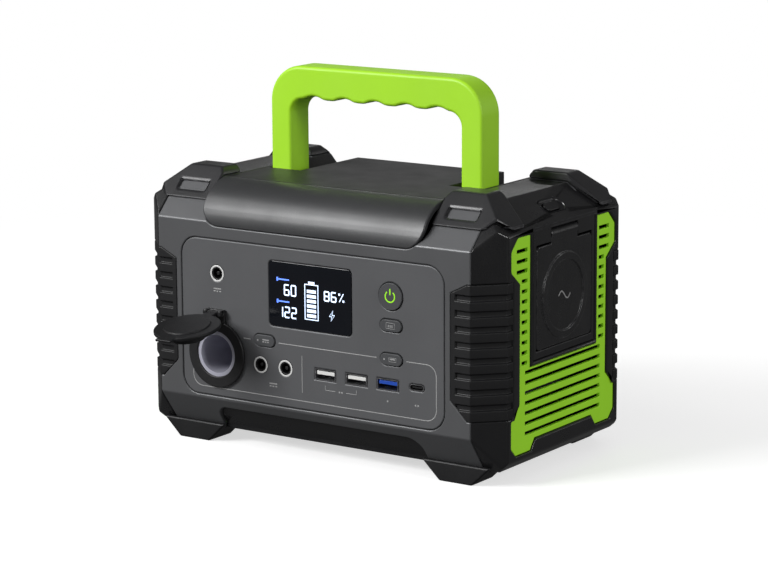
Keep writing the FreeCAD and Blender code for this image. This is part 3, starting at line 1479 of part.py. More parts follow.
fan_half = fan_size / 2
fan_back = half_wide - wall - fit
fan_inner = fan_back - fan_thick
blade_tip = fan_half - frame_wall - 1
motor_front = -fan_inner - motor_thick
fan_frame = joined("fan_frame_body", [
    cut("fan_ring",
        along_x("fan_square", -fan_back, -fan_inner, rounded(
            -fan_half, fan_half, fan_z - fan_half, fan_z + fan_half, 2 * frame_wall)),
        rod("fan_room", "x", fan_half - frame_wall, (-fan_back - 1, 0, fan_z), fan_thick + 2)),
    rod("fan_motor", "x", hub, (motor_front, 0, fan_z), motor_thick),
    box("fan_arm_flat", (motor_front, -fan_inner), (1 - fan_half, fan_half - 1),
        (fan_z - frame_wall, fan_z + frame_wall)),
    box("fan_arm_upright", (motor_front, -fan_inner), (-frame_wall, frame_wall),
        (fan_z - fan_half + 1, fan_z + fan_half - 1)),
    rod("fan_shaft", "x", pin_radius, (fan_shaft - fan_back, 0, fan_z), fan_thick - fan_shaft - 1),
])
keep("fan_frame", fan_frame)
blade_count = 7
vane_low = -fan_back + vane_room
vane_high = motor_front - frame_wall
blades = []
for index in range(blade_count):
    blade = along_z(f"blade_{index}", hub - 1, blade_tip, polygon([
        (vane_low, -vane_half), (vane_low + vane_thick, -vane_half),
        (vane_high, vane_half - vane_thick), (vane_high, vane_half),
        (vane_high - vane_thick, vane_half), (vane_low, vane_thick - vane_half)]))
    turn = FreeCAD.Rotation(FreeCAD.Vector(1, 0, 0), index * 360 / blade_count)
    blade.Placement = FreeCAD.Placement(FreeCAD.Vector(), turn)
    move(blade, 0, 0, fan_z)
    blades.append(blade)
keep("fan_rotor", cut(
    "fan_rotor_body",
    joined("fan_rotor_blank", [
        rod("fan_hub", "x", hub, (vane_low, 0, fan_z), vane_high - vane_low), *blades]),
    rod("fan_rotor_bore", "x", pin_radius + running_gap, (vane_low + 2, 0, fan_z), fan_thick)))

# ---------------------------------------------------------------- rebuild, check and write out
doc.recompute()
for thing in doc.Objects:
    if "Invalid" in thing.State or "Error" in thing.State:
        raise RuntimeError(f"{thing.Name} did not build: {thing.State}")
for name, thing in nodes.items():
    if thing.Shape.isNull() or not thing.Shape.isValid():
        raise RuntimeError(f"{name} has no valid shape")
os.makedirs("parts", exist_ok=True)
for name, thing in nodes.items():
    thing.Shape.exportStep(f"parts/{name}.step")
    print(name, len(thing.Shape.Solids), round(thing.Shape.Volume))
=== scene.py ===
import json
import math

import bpy
from mathutils import Euler, Matrix, Vector


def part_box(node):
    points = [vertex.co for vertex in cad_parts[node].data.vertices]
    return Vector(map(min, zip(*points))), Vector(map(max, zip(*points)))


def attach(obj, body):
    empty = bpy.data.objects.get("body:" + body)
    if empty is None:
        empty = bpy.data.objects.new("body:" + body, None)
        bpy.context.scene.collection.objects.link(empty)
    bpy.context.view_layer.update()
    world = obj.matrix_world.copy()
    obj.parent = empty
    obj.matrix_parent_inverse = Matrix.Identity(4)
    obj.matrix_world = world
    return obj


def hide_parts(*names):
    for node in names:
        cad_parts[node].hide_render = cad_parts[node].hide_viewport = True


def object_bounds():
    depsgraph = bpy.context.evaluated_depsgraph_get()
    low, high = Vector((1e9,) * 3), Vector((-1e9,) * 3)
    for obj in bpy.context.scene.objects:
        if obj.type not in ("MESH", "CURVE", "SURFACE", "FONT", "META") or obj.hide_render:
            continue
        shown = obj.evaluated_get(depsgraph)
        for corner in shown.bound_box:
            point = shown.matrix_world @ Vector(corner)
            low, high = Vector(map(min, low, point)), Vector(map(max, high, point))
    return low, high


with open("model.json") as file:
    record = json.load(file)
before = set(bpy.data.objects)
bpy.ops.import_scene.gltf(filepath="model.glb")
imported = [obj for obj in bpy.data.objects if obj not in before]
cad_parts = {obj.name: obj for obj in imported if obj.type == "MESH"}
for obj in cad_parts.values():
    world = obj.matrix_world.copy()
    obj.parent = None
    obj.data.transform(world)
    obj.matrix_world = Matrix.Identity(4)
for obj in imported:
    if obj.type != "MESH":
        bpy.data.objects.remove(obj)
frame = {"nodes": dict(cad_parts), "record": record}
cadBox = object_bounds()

nodes = frame["nodes"]
mm = 0.001
nodeSlots = {part["node"]: part["material_slot"] for part in frame["record"]["subparts"]}
bodies = frame["record"]["behaviour"]["bodies"]
nodeBodies = {node: body for body, members in bodies.items() for node in members}
print("frame loaded:", len(nodes), "nodes")


def deselectAll():
    bpy.ops.object.select_all(action="DESELECT")


def makeActive(piece):
    deselectAll()
    piece.select_set(True)
    bpy.context.view_layer.objects.active = piece


def settle(piece):
    # leaves the object at the origin with its place in its mesh
    makeActive(piece)
    bpy.ops.object.transform_apply(location=True, rotation=True, scale=True)


def applyModifier(piece, kind, **settings):
    makeActive(piece)
    modifier = piece.modifiers.new(kind.lower(), kind)
    for key, value in settings.items():
        setattr(modifier, key, value)
    bpy.ops.object.modifier_apply(modifier=modifier.name)


def smooth(piece, angle):
    makeActive(piece)
    bpy.ops.object.shade_smooth_by_angle(angle=math.radians(angle))


def place(piece, look, body="casing"):
    piece.data.materials.clear()
    piece.data.materials.append(look)
    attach(piece, body)
    return piece


def joinPieces(name, parts):
    deselectAll()
    for part in parts:
        part.select_set(True)
    bpy.context.view_layer.objects.active = parts[0]
    if len(parts) > 1:
        bpy.ops.object.join()
    parts[0].name = name
    parts[0].data.name = name
    return parts[0]


def addNode(tree, kind, **settings):
    node = tree.nodes.new(kind)
    for key, value in settings.items():
        setattr(node, key, value)
    return node


def newGroup(name, inputs, outputs):
    group = bpy.data.node_groups.new(name, "ShaderNodeTree")
    for label, value in inputs.items():
        socket = group.interface.new_socket(label, in_out="INPUT", socket_type="NodeSocketFloat")
        socket.default_value = value
    for label in outputs:
        group.interface.new_socket(label, in_out="OUTPUT", socket_type="NodeSocketFloat")
    return group, addNode(group, "NodeGroupInput"), addNode(group, "NodeGroupOutput")


def noise(tree, source, scale, detail=2.0, roughness=0.55, stretch=(1, 1, 1)):
    mapping = addNode(tree, "ShaderNodeMapping")
    mapping.inputs["Scale"].default_value = stretch
    texture = addNode(tree, "ShaderNodeTexNoise")
    texture.inputs["Detail"].default_value = detail
    texture.inputs["Roughness"].default_value = roughness
    tree.links.new(source, mapping.inputs["Vector"])
    tree.links.new(mapping.outputs["Vector"], texture.inputs["Vector"])
    if hasattr(scale, "links"):
        tree.links.new(scale, texture.inputs["Scale"])
    else:
        texture.inputs["Scale"].default_value = scale
    return texture.outputs["Fac"]


def maths(tree, operation, first, second, clamp=False):
    node = addNode(tree, "ShaderNodeMath", operation=operation, use_clamp=clamp)
    for socket, value in zip(node.inputs, (first, second)):
        if hasattr(value, "links"):
            tree.links.new(value, socket)
        else:
            socket.default_value = value
    return node.outputs["Value"]


def spread(tree, value, low, high, newLow, newHigh):
    node = addNode(tree, "ShaderNodeMapRange")
    limits = {"From Min": low, "From Max": high, "To Min": newLow, "To Max": newHigh}
    for label, number in limits.items():
        node.inputs[label].default_value = number
    tree.links.new(value, node.inputs["Value"])
    return node.outputs["Result"]


def blendColour(tree, factor, first, second):
    node = addNode(tree, "ShaderNodeMix", data_type="RGBA")
    tree.links.new(factor, node.inputs["Factor"])
    for label, value in ((6, first), (7, second)):
        if hasattr(value, "links"):
            tree.links.new(value, node.inputs[label])
        else:
            node.inputs[label].default_value = (*value, 1)
    return node.outputs[2]


# pitch, drift, breakup, patch, specks and streaks are cells to the metre
grainPattern = {"pitch": 1800.0, "drift": 22.0, "fineDetail": 3.0, "slowDetail": 4.0, "roughness": 0.6,
                "pitShare": 0.5}
rubAndSheenPattern = {"reach": 0.0006, "samples": 4, "flatEdge": 0.995, "sharpEdge": 0.86, "breakup": 260.0,
              "detail": 3.0, "thin": 0.42, "thick": 0.66, "least": 0.15}
dustPattern = {"patch": 34.0, "patchDetail": 5.0, "patchRoughness": 0.7, "specks": 1400.0, "speckDetail": 2.0,
               "thin": 0.26, "thick": 0.5, "streaks": 60.0, "streakDetail": 3.0, "streakRoughness": 0.5,
               "streakStretch": (1, 1, 0.35), "streakThin": 0.35, "streakThick": 0.7}


def makeGrainGroup():
    # fine moulded texture: small pits on a soft rolling surface, plus slow tone changes
    pattern = grainPattern
    group, inputs, outputs = newGroup(
        "mouldedGrain", {"Pitch": pattern["pitch"], "Drift": pattern["drift"]}, ("Height", "Tone"))
    point = addNode(group, "ShaderNodeTexCoord").outputs["Object"]
    fine = noise(group, point, inputs.outputs["Pitch"], pattern["fineDetail"], pattern["roughness"])
    pits = addNode(group, "ShaderNodeTexVoronoi")
    group.links.new(point, pits.inputs["Vector"])
    group.links.new(inputs.outputs["Pitch"], pits.inputs["Scale"])
    mixed = maths(group, "ADD", fine, maths(group, "MULTIPLY", pits.outputs["Distance"], pattern["pitShare"]))
    slow = noise(group, point, inputs.outputs["Drift"], pattern["slowDetail"], pattern["roughness"])
    group.links.new(mixed, outputs.inputs["Height"])
    group.links.new(slow, outputs.inputs["Tone"])
    return group


def makeRubAndSheenGroup():
    # where an edge has been rubbed by hands and bags; on the lid the same mask lays a painted highlight along
    # its edges
    pattern = rubAndSheenPattern
    group, inputs, outputs = newGroup(
        "edgeRubAndSheen", {"Reach": pattern["reach"], "Breakup": pattern["breakup"]}, ("Mask",))
    rounded = addNode(group, "ShaderNodeBevel", samples=pattern["samples"])
    group.links.new(inputs.outputs["Reach"], rounded.inputs["Radius"])
    plain = addNode(group, "ShaderNodeNewGeometry").outputs["Normal"]
    dot = addNode(group, "ShaderNodeVectorMath", operation="DOT_PRODUCT")
    group.links.new(rounded.outputs["Normal"], dot.inputs[0])
    group.links.new(plain, dot.inputs[1])
    turn = spread(group, dot.outputs["Value"], pattern["flatEdge"], pattern["sharpEdge"], 0, 1)
    point = addNode(group, "ShaderNodeTexCoord").outputs["Object"]
    broken = noise(group, point, inputs.outputs["Breakup"], pattern["detail"])
    patches = spread(group, broken, pattern["thin"], pattern["thick"], pattern["least"], 1)
    group.links.new(maths(group, "MULTIPLY", turn, patches, True), outputs.inputs["Mask"])
    return group


def makeDustGroup():
    # light dust and hand grease that gather in soft patches
    pattern = dustPattern
    group, inputs, outputs = newGroup("softDust", {"Patch": pattern["patch"]}, ("Mask", "Smear"))
    point = addNode(group, "ShaderNodeTexCoord").outputs["Object"]
    patches = noise(group, point, inputs.outputs["Patch"], pattern["patchDetail"], pattern["patchRoughness"])
    specks = noise(group, point, pattern["specks"], pattern["speckDetail"])
    dusty = maths(group, "MULTIPLY", patches, specks)
    group.links.new(spread(group, dusty, pattern["thin"], pattern["thick"], 0, 1), outputs.inputs["Mask"])
    streaks = noise(group, point, pattern["streaks"], pattern["streakDetail"], pattern["streakRoughness"],
                    pattern["streakStretch"])
    smear = spread(group, streaks, pattern["streakThin"], pattern["streakThick"], 0, 1)
    group.links.new(smear, outputs.inputs["Smear"])
    return group


grainGroup = makeGrainGroup()
rubAndSheenGroup = makeRubAndSheenGroup()
dustGroup = makeDustGroup()


def useGroup(tree, group, **values):
    node = addNode(tree, "ShaderNodeGroup", node_tree=group)
    for label, value in values.items():
        node.inputs[label].default_value = value
    return node


def scaled(colour, share):
    return tuple(min(channel * share, 1) for channel in colour)


# what a finish has where it names nothing else
plainLook = dict(metal=0, coat=0, coatRough=0.12, shine=0.5, pitch=1800, drift=22, bump=0.25, depth=0.00008,
                 shade=0.06, rubAndSheen=0.5, reach=0.0005, wornShare=1.7, dust=0.05, dustColour=(0.32, 0.31, 0.29),
                 smear=0.06, toneLow=0.3, toneHigh=0.7, grainLow=0.3, grainHigh=1.0, smoother=0.03,
                 rougher=0.05)
scratches = {"pitch": 2600.0, "detail": 2.0, "roughness": 0.6, "low": 0.35, "high": 0.7, "smoother": 0.05,
             "rougher": 0.12}


def makeFinish(name, chosen):
    look = {**plainLook, **chosen}
    colour, rough, shade = look["colour"], look["rough"], look["shade"]
    material = bpy.data.materials.new(name)
    material.use_nodes = True
    tree = material.node_tree
    shader = tree.nodes["Principled BSDF"]
    shader.inputs["Metallic"].default_value = look["metal"]
    shader.inputs["Coat Weight"].default_value = look["coat"]
    shader.inputs["Coat Roughness"].default_value = look["coatRough"]
    shader.inputs["Specular IOR Level"].default_value = look["shine"]
    grain = useGroup(tree, grainGroup, Pitch=look["pitch"], Drift=look["drift"])
    rubAndSheen = useGroup(tree, rubAndSheenGroup, Reach=look["reach"])
    dust = useGroup(tree, dustGroup)
    tone = spread(tree, grain.outputs["Tone"], look["toneLow"], look["toneHigh"], 0, 1)
    body = blendColour(tree, tone, scaled(colour, 1 - shade), scaled(colour, 1 + shade))
    # edges take the worn colour: real wear on most finishes, a painted highlight on the lid
    rubAndSheenShare = maths(tree, "MULTIPLY", rubAndSheen.outputs["Mask"], look["rubAndSheen"])
    dusted = maths(tree, "MULTIPLY", dust.outputs["Mask"], look["dust"])
    wornAndSheenColour = blendColour(tree, rubAndSheenShare, body, look.get("wornAndSheen", scaled(colour, look["wornShare"])))
    shown = blendColour(tree, dusted, wornAndSheenColour, look["dustColour"])
    tree.links.new(shown, shader.inputs["Base Color"])
    smear = maths(tree, "MULTIPLY", dust.outputs["Smear"], look["smear"])
    fleck = spread(tree, grain.outputs["Height"], look["grainLow"], look["grainHigh"],
                   rough - look["smoother"], rough + look["rougher"])
    tree.links.new(maths(tree, "ADD", fleck, smear, True), shader.inputs["Roughness"])
    bump = addNode(tree, "ShaderNodeBump")
    bump.inputs["Strength"].default_value = look["bump"]
    bump.inputs["Distance"].default_value = look["depth"]
    tree.links.new(grain.outputs["Height"], bump.inputs["Height"])
    tree.links.new(bump.outputs["Normal"], shader.inputs["Normal"])
    if "brush" in look:
        brushFinish(tree, shader, bump, look)
    if "glow" in look:
        shader.inputs["Emission Color"].default_value = (*look["glow"], 1)
        shader.inputs["Emission Strength"].default_value = look["power"]
    return material


def brushFinish(tree, shader, bump, look):
    # long scratches along one axis
    point = addNode(tree, "ShaderNodeTexCoord").outputs["Object"]
    lines = noise(tree, point, scratches["pitch"], scratches["detail"], scratches["roughness"], look["brush"])
    rough = spread(tree, lines, scratches["low"], scratches["high"],
                   look["rough"] - scratches["smoother"], look["rough"] + scratches["rougher"])
    tree.links.new(rough, shader.inputs["Roughness"])
    tree.links.new(lines, bump.inputs["Height"])


# colours are linear, and the last six are print, a painted rim highlight and lights
finishes = {
    "cover_grey": dict(colour=(0.122, 0.124, 0.129), rough=0.36, metal=0.35, pitch=2600, bump=0.18, rubAndSheen=0.35,
                       shade=0.04),
    "panel_grey": dict(colour=(0.120, 0.122, 0.128), rough=0.42, metal=0.25, pitch=3000, bump=0.15, rubAndSheen=0.4,
                       shade=0.03),
    "roll_dark": dict(colour=(0.044, 0.045, 0.047), rough=0.36, metal=0.15, coat=0.12, coatRough=0.22,
                      pitch=2600, bump=0.08, rubAndSheen=0.4),
    "deck_dark": dict(colour=(0.020, 0.020, 0.021), rough=0.42, pitch=2600, bump=0.10, rubAndSheen=0.35),
    "cap_black": dict(colour=(0.011, 0.011, 0.012), rough=0.26, coat=0.5, coatRough=0.15, pitch=1700, bump=0.2,
                      rubAndSheen=0.5, wornAndSheen=(0.06, 0.06, 0.065), dust=0.03),
    "rubber_black": dict(colour=(0.005, 0.005, 0.006), rough=0.48, coat=0.05, coatRough=0.3, pitch=1500,
                         bump=0.25, rubAndSheen=0.6, wornAndSheen=(0.03, 0.03, 0.032), dust=0.02),
    "guard_grey": dict(colour=(0.026, 0.026, 0.028), rough=0.34, metal=0.15, coat=0.2, coatRough=0.18,
                       pitch=2000, bump=0.2, rubAndSheen=0.7, wornAndSheen=(0.16, 0.16, 0.17)),
    "lime": dict(colour=(0.42, 0.83, 0.022), rough=0.40, pitch=1500, bump=0.22, rubAndSheen=0.35,
                 wornAndSheen=(0.58, 0.92, 0.14), shade=0.03, dust=0.03, smear=0.09),
    "vent_green": dict(colour=(0.44, 0.95, 0.026), rough=0.34, pitch=1500, bump=0.2, rubAndSheen=0.3,
                       wornAndSheen=(0.45, 0.85, 0.08), shade=0.03),
    # painted highlight: the lid's edges are lightened to grey through the edge mask, standing in for bright
    # reflections on its rims
    "lid_black": dict(colour=(0.012, 0.012, 0.013), rough=0.20, coat=0.6, coatRough=0.08, pitch=3000,
                      bump=0.04, rubAndSheen=1.6, wornAndSheen=(0.30, 0.30, 0.31), smear=0.12),
    "socket_black": dict(colour=(0.013, 0.013, 0.014), rough=0.38, pitch=2200, bump=0.2,
                         wornAndSheen=(0.06, 0.06, 0.06)),
    "barrel_steel": dict(colour=(0.48, 0.48, 0.56), rough=0.6, metal=0.35, brush=(1, 0.02, 1), bump=0.15),
    "steel": dict(colour=(0.58, 0.58, 0.60), rough=0.28, metal=1, brush=(0.05, 1, 1), bump=0.12, dust=0.02),
    "brass": dict(colour=(0.72, 0.54, 0.22), rough=0.26, metal=1, brush=(1, 0.05, 1), bump=0.1),
    "port_white": dict(colour=(0.82, 0.82, 0.80), rough=0.32, pitch=2600, bump=0.05, shade=0.03,
                       wornAndSheen=(0.9, 0.9, 0.88)),
    "port_blue": dict(colour=(0.016, 0.075, 0.46), rough=0.30, pitch=2600, bump=0.05, wornAndSheen=(0.1, 0.2, 0.6)),
    "button_grey": dict(colour=(0.062, 0.064, 0.068), rough=0.48, wornAndSheen=(0.13, 0.13, 0.14)),
    "screen_black": dict(colour=(0.004, 0.005, 0.008), rough=0.07, coat=0.6, coatRough=0.03, pitch=3000,
                         bump=0.01, rubAndSheen=0.2, smear=0.05, wornAndSheen=(0.03, 0.03, 0.04), dust=0.01),
    "board_green": dict(colour=(0.015, 0.13, 0.055), rough=0.35, coat=0.3, pitch=900, bump=0.15),
    "module_white": dict(colour=(0.62, 0.63, 0.62), rough=0.5),
    "cell_sleeve": dict(colour=(0.04, 0.22, 0.46), rough=0.28, coat=0.4, pitch=700, bump=0.06),
    "holder_black": dict(colour=(0.022, 0.022, 0.023), rough=0.55, pitch=1500, bump=0.3,
                         wornAndSheen=(0.07, 0.07, 0.07)),
    "nickel": dict(colour=(0.62, 0.60, 0.54), rough=0.3, metal=1, brush=(0.05, 1, 1), bump=0.1),
    "aluminium": dict(colour=(0.70, 0.71, 0.72), rough=0.34, metal=1, brush=(1, 0.05, 1), bump=0.12),
    "ferrite": dict(colour=(0.06, 0.055, 0.05), rough=0.6, pitch=900, bump=0.4),
    "print_white": dict(colour=(0.72, 0.72, 0.71), rough=0.45, pitch=2600, bump=0.04, rubAndSheen=0.1, dust=0.02),
    "print_grey": dict(colour=(0.36, 0.36, 0.36), rough=0.45, pitch=2600, bump=0.04, shade=0.08, rubAndSheen=0.1,
                       dust=0.02),
    # painted highlight: a light grey for the bright arcs on the lid's ring
    "rim_highlight_paint": dict(colour=(0.36, 0.36, 0.37), rough=0.22, metal=0.5, pitch=2600, bump=0.03, rubAndSheen=0.1,
                         dust=0.02),
    "power_green": dict(colour=(0.30, 0.72, 0.02), rough=0.35, pitch=2600, bump=0.04, glow=(0.30, 0.80, 0.02),
                        power=0.35),
    "display_light": dict(colour=(0.5, 0.6, 0.8), rough=0.4, pitch=2600, bump=0.02, glow=(0.62, 0.76, 1.0),
                          power=1.5),
    "display_blue": dict(colour=(0.1, 0.2, 0.8), rough=0.4, pitch=2600, bump=0.02, glow=(0.12, 0.25, 1.0),
                         power=1.3),
}
looks = {name: makeFinish(name + "_look", look) for name, look in finishes.items()}

for nodeName, node in nodes.items():
    node.material_slots[0].material = looks[nodeSlots[nodeName]]
print("finishes made:", len(looks))


# each shell is the part's own form, with edges this round in millimetres
shellEdges = {
    "front_cover": 0.7, "rear_cover": 0.7, "bottom_cover": 0.5, "top_cover": 0.6, "front_roll": 0.8,
    "end_cap_right": 1.1, "end_cap_left": 1.1, "vent_grille_right": 0.35, "vent_grille_left": 0.35,
    "handle": 2.0, "control_panel": 0.8, "car_socket_ring": 0.6, "car_socket_cap": 0.5, "ac_housing": 0.5,
    "ac_cover": 0.45, "ac_button": 0.4, "display_button": 0.4, "dc_button": 0.4, "usb_button": 0.4,
    "power_button": 0.4, "display_window": 0.3, "dc_in_jack": 0.2, "dc_out_jack_left": 0.2,
    "dc_out_jack_right": 0.2, "usb_tongues": 0.15, "usb_fast_tongue": 0.15,
}
for corner in ("front_right", "front_left", "rear_right", "rear_left"):
    shellEdges.update({"bumper_" + corner: 0.6, "guard_" + corner: 1.2, "foot_" + corner: 1.0})
# outlines with deep notches keep their own triangles, as one wide face would fold over itself
notched = {"end_cap_right", "end_cap_left"}
# merge is in millimetres and the angles are in degrees
shellFinish = {"merge": 0.01, "flatAngle": 0.6, "edgeAngle": 28, "segments": 3, "smoothAngle": 34}


def roundedShell(nodeName, width):
    piece = bpy.data.objects.new(nodeName + "_shell", nodes[nodeName].data.copy())
    bpy.context.scene.collection.objects.link(piece)
    makeActive(piece)
    bpy.ops.object.mode_set(mode="EDIT")
    bpy.ops.mesh.select_all(action="SELECT")
    bpy.ops.mesh.customdata_custom_splitnormals_clear()
    bpy.ops.mesh.remove_doubles(threshold=shellFinish["merge"] * mm)
    if nodeName not in notched:
        bpy.ops.mesh.dissolve_limited(angle_limit=math.radians(shellFinish["flatAngle"]))
    bpy.ops.object.mode_set(mode="OBJECT")
    applyModifier(piece, "BEVEL", width=width * mm, segments=shellFinish["segments"], limit_method="ANGLE",
                  angle_limit=math.radians(shellFinish["edgeAngle"]), use_clamp_overlap=False,
                  harden_normals=False)
    smooth(piece, shellFinish["smoothAngle"])
    applyModifier(piece, "WEIGHTED_NORMAL", keep_sharp=True)
    place(piece, looks[nodeSlots[nodeName]], nodeBodies[nodeName])
    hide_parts(nodeName)


for nodeName, width in shellEdges.items():
    roundedShell(nodeName, width)
print("rounded shells made:", len(shellEdges))


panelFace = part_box("control_panel")[0].y / mm
# edge is the share of a bar's thinnest side that is taken off, and ring, tube and curve are counts
printing = {"thickness": 0.12, "edge": 0.25, "ring": 72, "tube": 10, "curve": 2}
printFace = panelFace - printing["thickness"] / 4


def addBar(centre, size, tilt=0.0):
    # a flat bar facing the front, with its edges taken off
    deselectAll()
    bpy.ops.mesh.primitive_cube_add(size=1, location=[value * mm for value in centre], rotation=(0, tilt, 0))
    bar = bpy.context.object
    bar.scale = [value * mm for value in size]
    settle(bar)
    applyModifier(bar, "BEVEL", width=min(size) * printing["edge"] * mm, segments=1, limit_method="NONE")
    return bar


def addRing(centre, radius, width, thickness):
    deselectAll()
    bpy.ops.mesh.primitive_torus_add(major_radius=radius * mm, minor_radius=width / 2 * mm,
                                     major_segments=printing["ring"], minor_segments=printing["tube"],
                                     location=[value * mm for value in centre], rotation=(math.pi / 2, 0, 0))
    ring = bpy.context.object
    ring.scale.z = thickness / width
    settle(ring)
    return ring


def addTrace(points, width, thickness, closed=False):
    # a line of print that follows points (x, z) on the panel's face
    curve = bpy.data.curves.new("trace", "CURVE")
    curve.dimensions = "3D"
    curve.bevel_depth = width / 2 * mm
    curve.bevel_resolution = printing["curve"]
    curve.use_fill_caps = True
    spline = curve.splines.new("POLY")
    spline.points.add(len(points) - 1)
    for point, (x, z) in zip(spline.points, points):
        point.co = (x * mm, 0, z * mm, 1)
    spline.use_cyclic_u = closed
    line = bpy.data.objects.new("trace", curve)
    bpy.context.scene.collection.objects.link(line)
    makeActive(line)
    bpy.ops.object.convert(target="MESH")
    line = bpy.context.object
    line.scale.y = thickness / width
    settle(line)
    return line


def addFrame(halfWide, halfTall, width, thickness):
    # a printed rectangle round the origin
    corners = [(-halfWide, halfTall), (halfWide, halfTall), (halfWide, -halfTall), (-halfWide, -halfTall)]
    return addTrace(corners, width, thickness, closed=True)


def shift(piece, offset):
    piece.location = [value * mm for value in offset]
    settle(piece)
    return piece


def arcPoints(x, z, radius, first, last, steps=8):
    turns = [math.radians(first + (last - first) * step / steps) for step in range(steps + 1)]
    return [(x + radius * math.cos(turn), z + radius * math.sin(turn)) for turn in turns]


def boxCentre(nodeName):
    low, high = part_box(nodeName)
    return (low + high) / 2 / mm


def boxSides(nodeName):
    low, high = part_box(nodeName)
    return low.x / mm, high.x / mm


# the line that runs round the outputs, the divider beside the jacks and the bracket under the two plain ports
outline = {"line": 0.5, "corner": 6.0, "left": -77.5, "right": 79.5, "low": 33.5, "high": 63.0,
           "buttonGap": 1.4, "ringLap": 1.0,
           "dividerGap": 10.8, "dividerLow": 38, "dividerHigh": 58, "dividerLine": 0.4,
           "bracketLine": 0.35, "bracketDrop": 5.6, "bracketTall": 2.4, "bracketHalfGap": 3.6}


def makePanelPrint():
    left, right, low, high = (outline[side] for side in ("left", "right", "low", "high"))
    corner, gap, thickness = outline["corner"], outline["buttonGap"], printing["thickness"]
    dcLeft, dcRight = boxSides("dc_button")
    usbLeft, usbRight = boxSides("usb_button")
    ringRight = boxSides("car_socket_ring")[1]
    lowerLeft = arcPoints(left + corner, low + corner, corner, 180, 270)
    lowerRight = arcPoints(right - corner, low + corner, corner, 270, 360)
    upperRight = arcPoints(right - corner, high - corner, corner, 0, 90)
    lines = [
        [(ringRight - outline["ringLap"], high), (dcLeft - gap, high)],
        [(dcRight + gap, high), (usbLeft - gap, high)],
        [(left, high - corner)] + lowerLeft + lowerRight + upperRight + [(usbRight + gap, high)]]
    pieces = [addTrace(points, outline["line"], thickness) for points in lines]
    divider = boxCentre("dc_out_jack_right").x + outline["dividerGap"]
    ends = [(divider, outline["dividerLow"]), (divider, outline["dividerHigh"])]
    pieces.append(addTrace(ends, outline["dividerLine"], thickness))
    # both plain ports share a node, and each tongue is as wide as the fast one
    fastLeft, fastRight = boxSides("usb_fast_tongue")
    port = boxSides("usb_tongues")[0] + (fastRight - fastLeft) / 2
    middle = boxCentre("usb_tongues").x
    top = boxCentre("usb_shells").z - outline["bracketDrop"]
    foot = top - outline["bracketTall"]
    bracket = [(port, top), (port, foot), (middle - outline["bracketHalfGap"], foot)]
    mirrored = [(2 * middle - x, z) for x, z in bracket]
    pieces += [addTrace(points, outline["bracketLine"], thickness) for points in (bracket, mirrored)]
    printed = joinPieces("panel_outline_print", [shift(piece, (0, printFace, 0)) for piece in pieces])
    place(printed, looks["print_grey"])


jackRings = {"radius": 4.05, "width": 0.95, "thickness": 0.24, "proud": 0.05,
             "jacks": ("dc_in_jack", "dc_out_jack_left", "dc_out_jack_right")}


def makeJackRings():
    rings = []
    for centre in map(boxCentre, jackRings["jacks"]):
        at = (centre.x, panelFace - jackRings["proud"], centre.z)
        rings.append(addRing(at, jackRings["radius"], jackRings["width"], jackRings["thickness"]))
    place(joinPieces("jack_rings_print", rings), looks["print_white"])


# shares of the sign's own width
currentSign = {"rise": 0.14, "stroke": 0.13, "pitch": 0.37, "dash": 0.24}


def makeDirectCurrentSign(x, z, size, face):
    # one long bar over three short ones
    rise, stroke, pitch, dash = (size * currentSign[part] for part in ("rise", "stroke", "pitch", "dash"))
    bars = [addBar((x, face, z + rise), (size, printing["thickness"], stroke))]
    for step in (-1, 0, 1):
        bars.append(addBar((x + step * pitch, face, z - rise), (dash, printing["thickness"], stroke)))
    return bars


portSigns = {"size": 5.0, "belowIn": 9.0, "belowOut": 10.0, "dot": 0.9, "dotPitch": 1.6,
             "dots": ((1, "usb_fast_tongue", 8.8), (2, "usb_c_shell", 8.8), (2, "usb_tongues", 8.1))}


def makePortSigns():
    jackIn, outLeft, outRight = map(boxCentre, jackRings["jacks"])
    size, dot = portSigns["size"], portSigns["dot"]
    bars = makeDirectCurrentSign(jackIn.x, jackIn.z - portSigns["belowIn"], size, printFace)
    between = (outLeft.x + outRight.x) / 2
    bars += makeDirectCurrentSign(between, outLeft.z - portSigns["belowOut"], size, printFace)
    for count, port, below in portSigns["dots"]:
        x, z = boxCentre(port).x, boxCentre("usb_shells").z - below
        for step in range(count):
            across = (step - (count - 1) / 2) * portSigns["dotPitch"]
            bars.append(addBar((x + across, printFace, z), (dot, printing["thickness"], dot)))
    place(joinPieces("port_signs_print", bars), looks["print_grey"])


# plug and screen are half sizes, tongue and column are whole ones
buttonSigns = {"proud": 0.02, "aside": 1.2, "currentSize": 4.2, "line": 0.3, "plug": (2.2, 1.0),
               "tongue": (3.0, 0.7), "tongueRise": 0.25, "screen": (2.6, 1.5), "column": (0.55, 1.3),
               "columnPitch": 1.1, "columnDrop": 0.2, "dot": 0.9, "dotAside": 4.0}


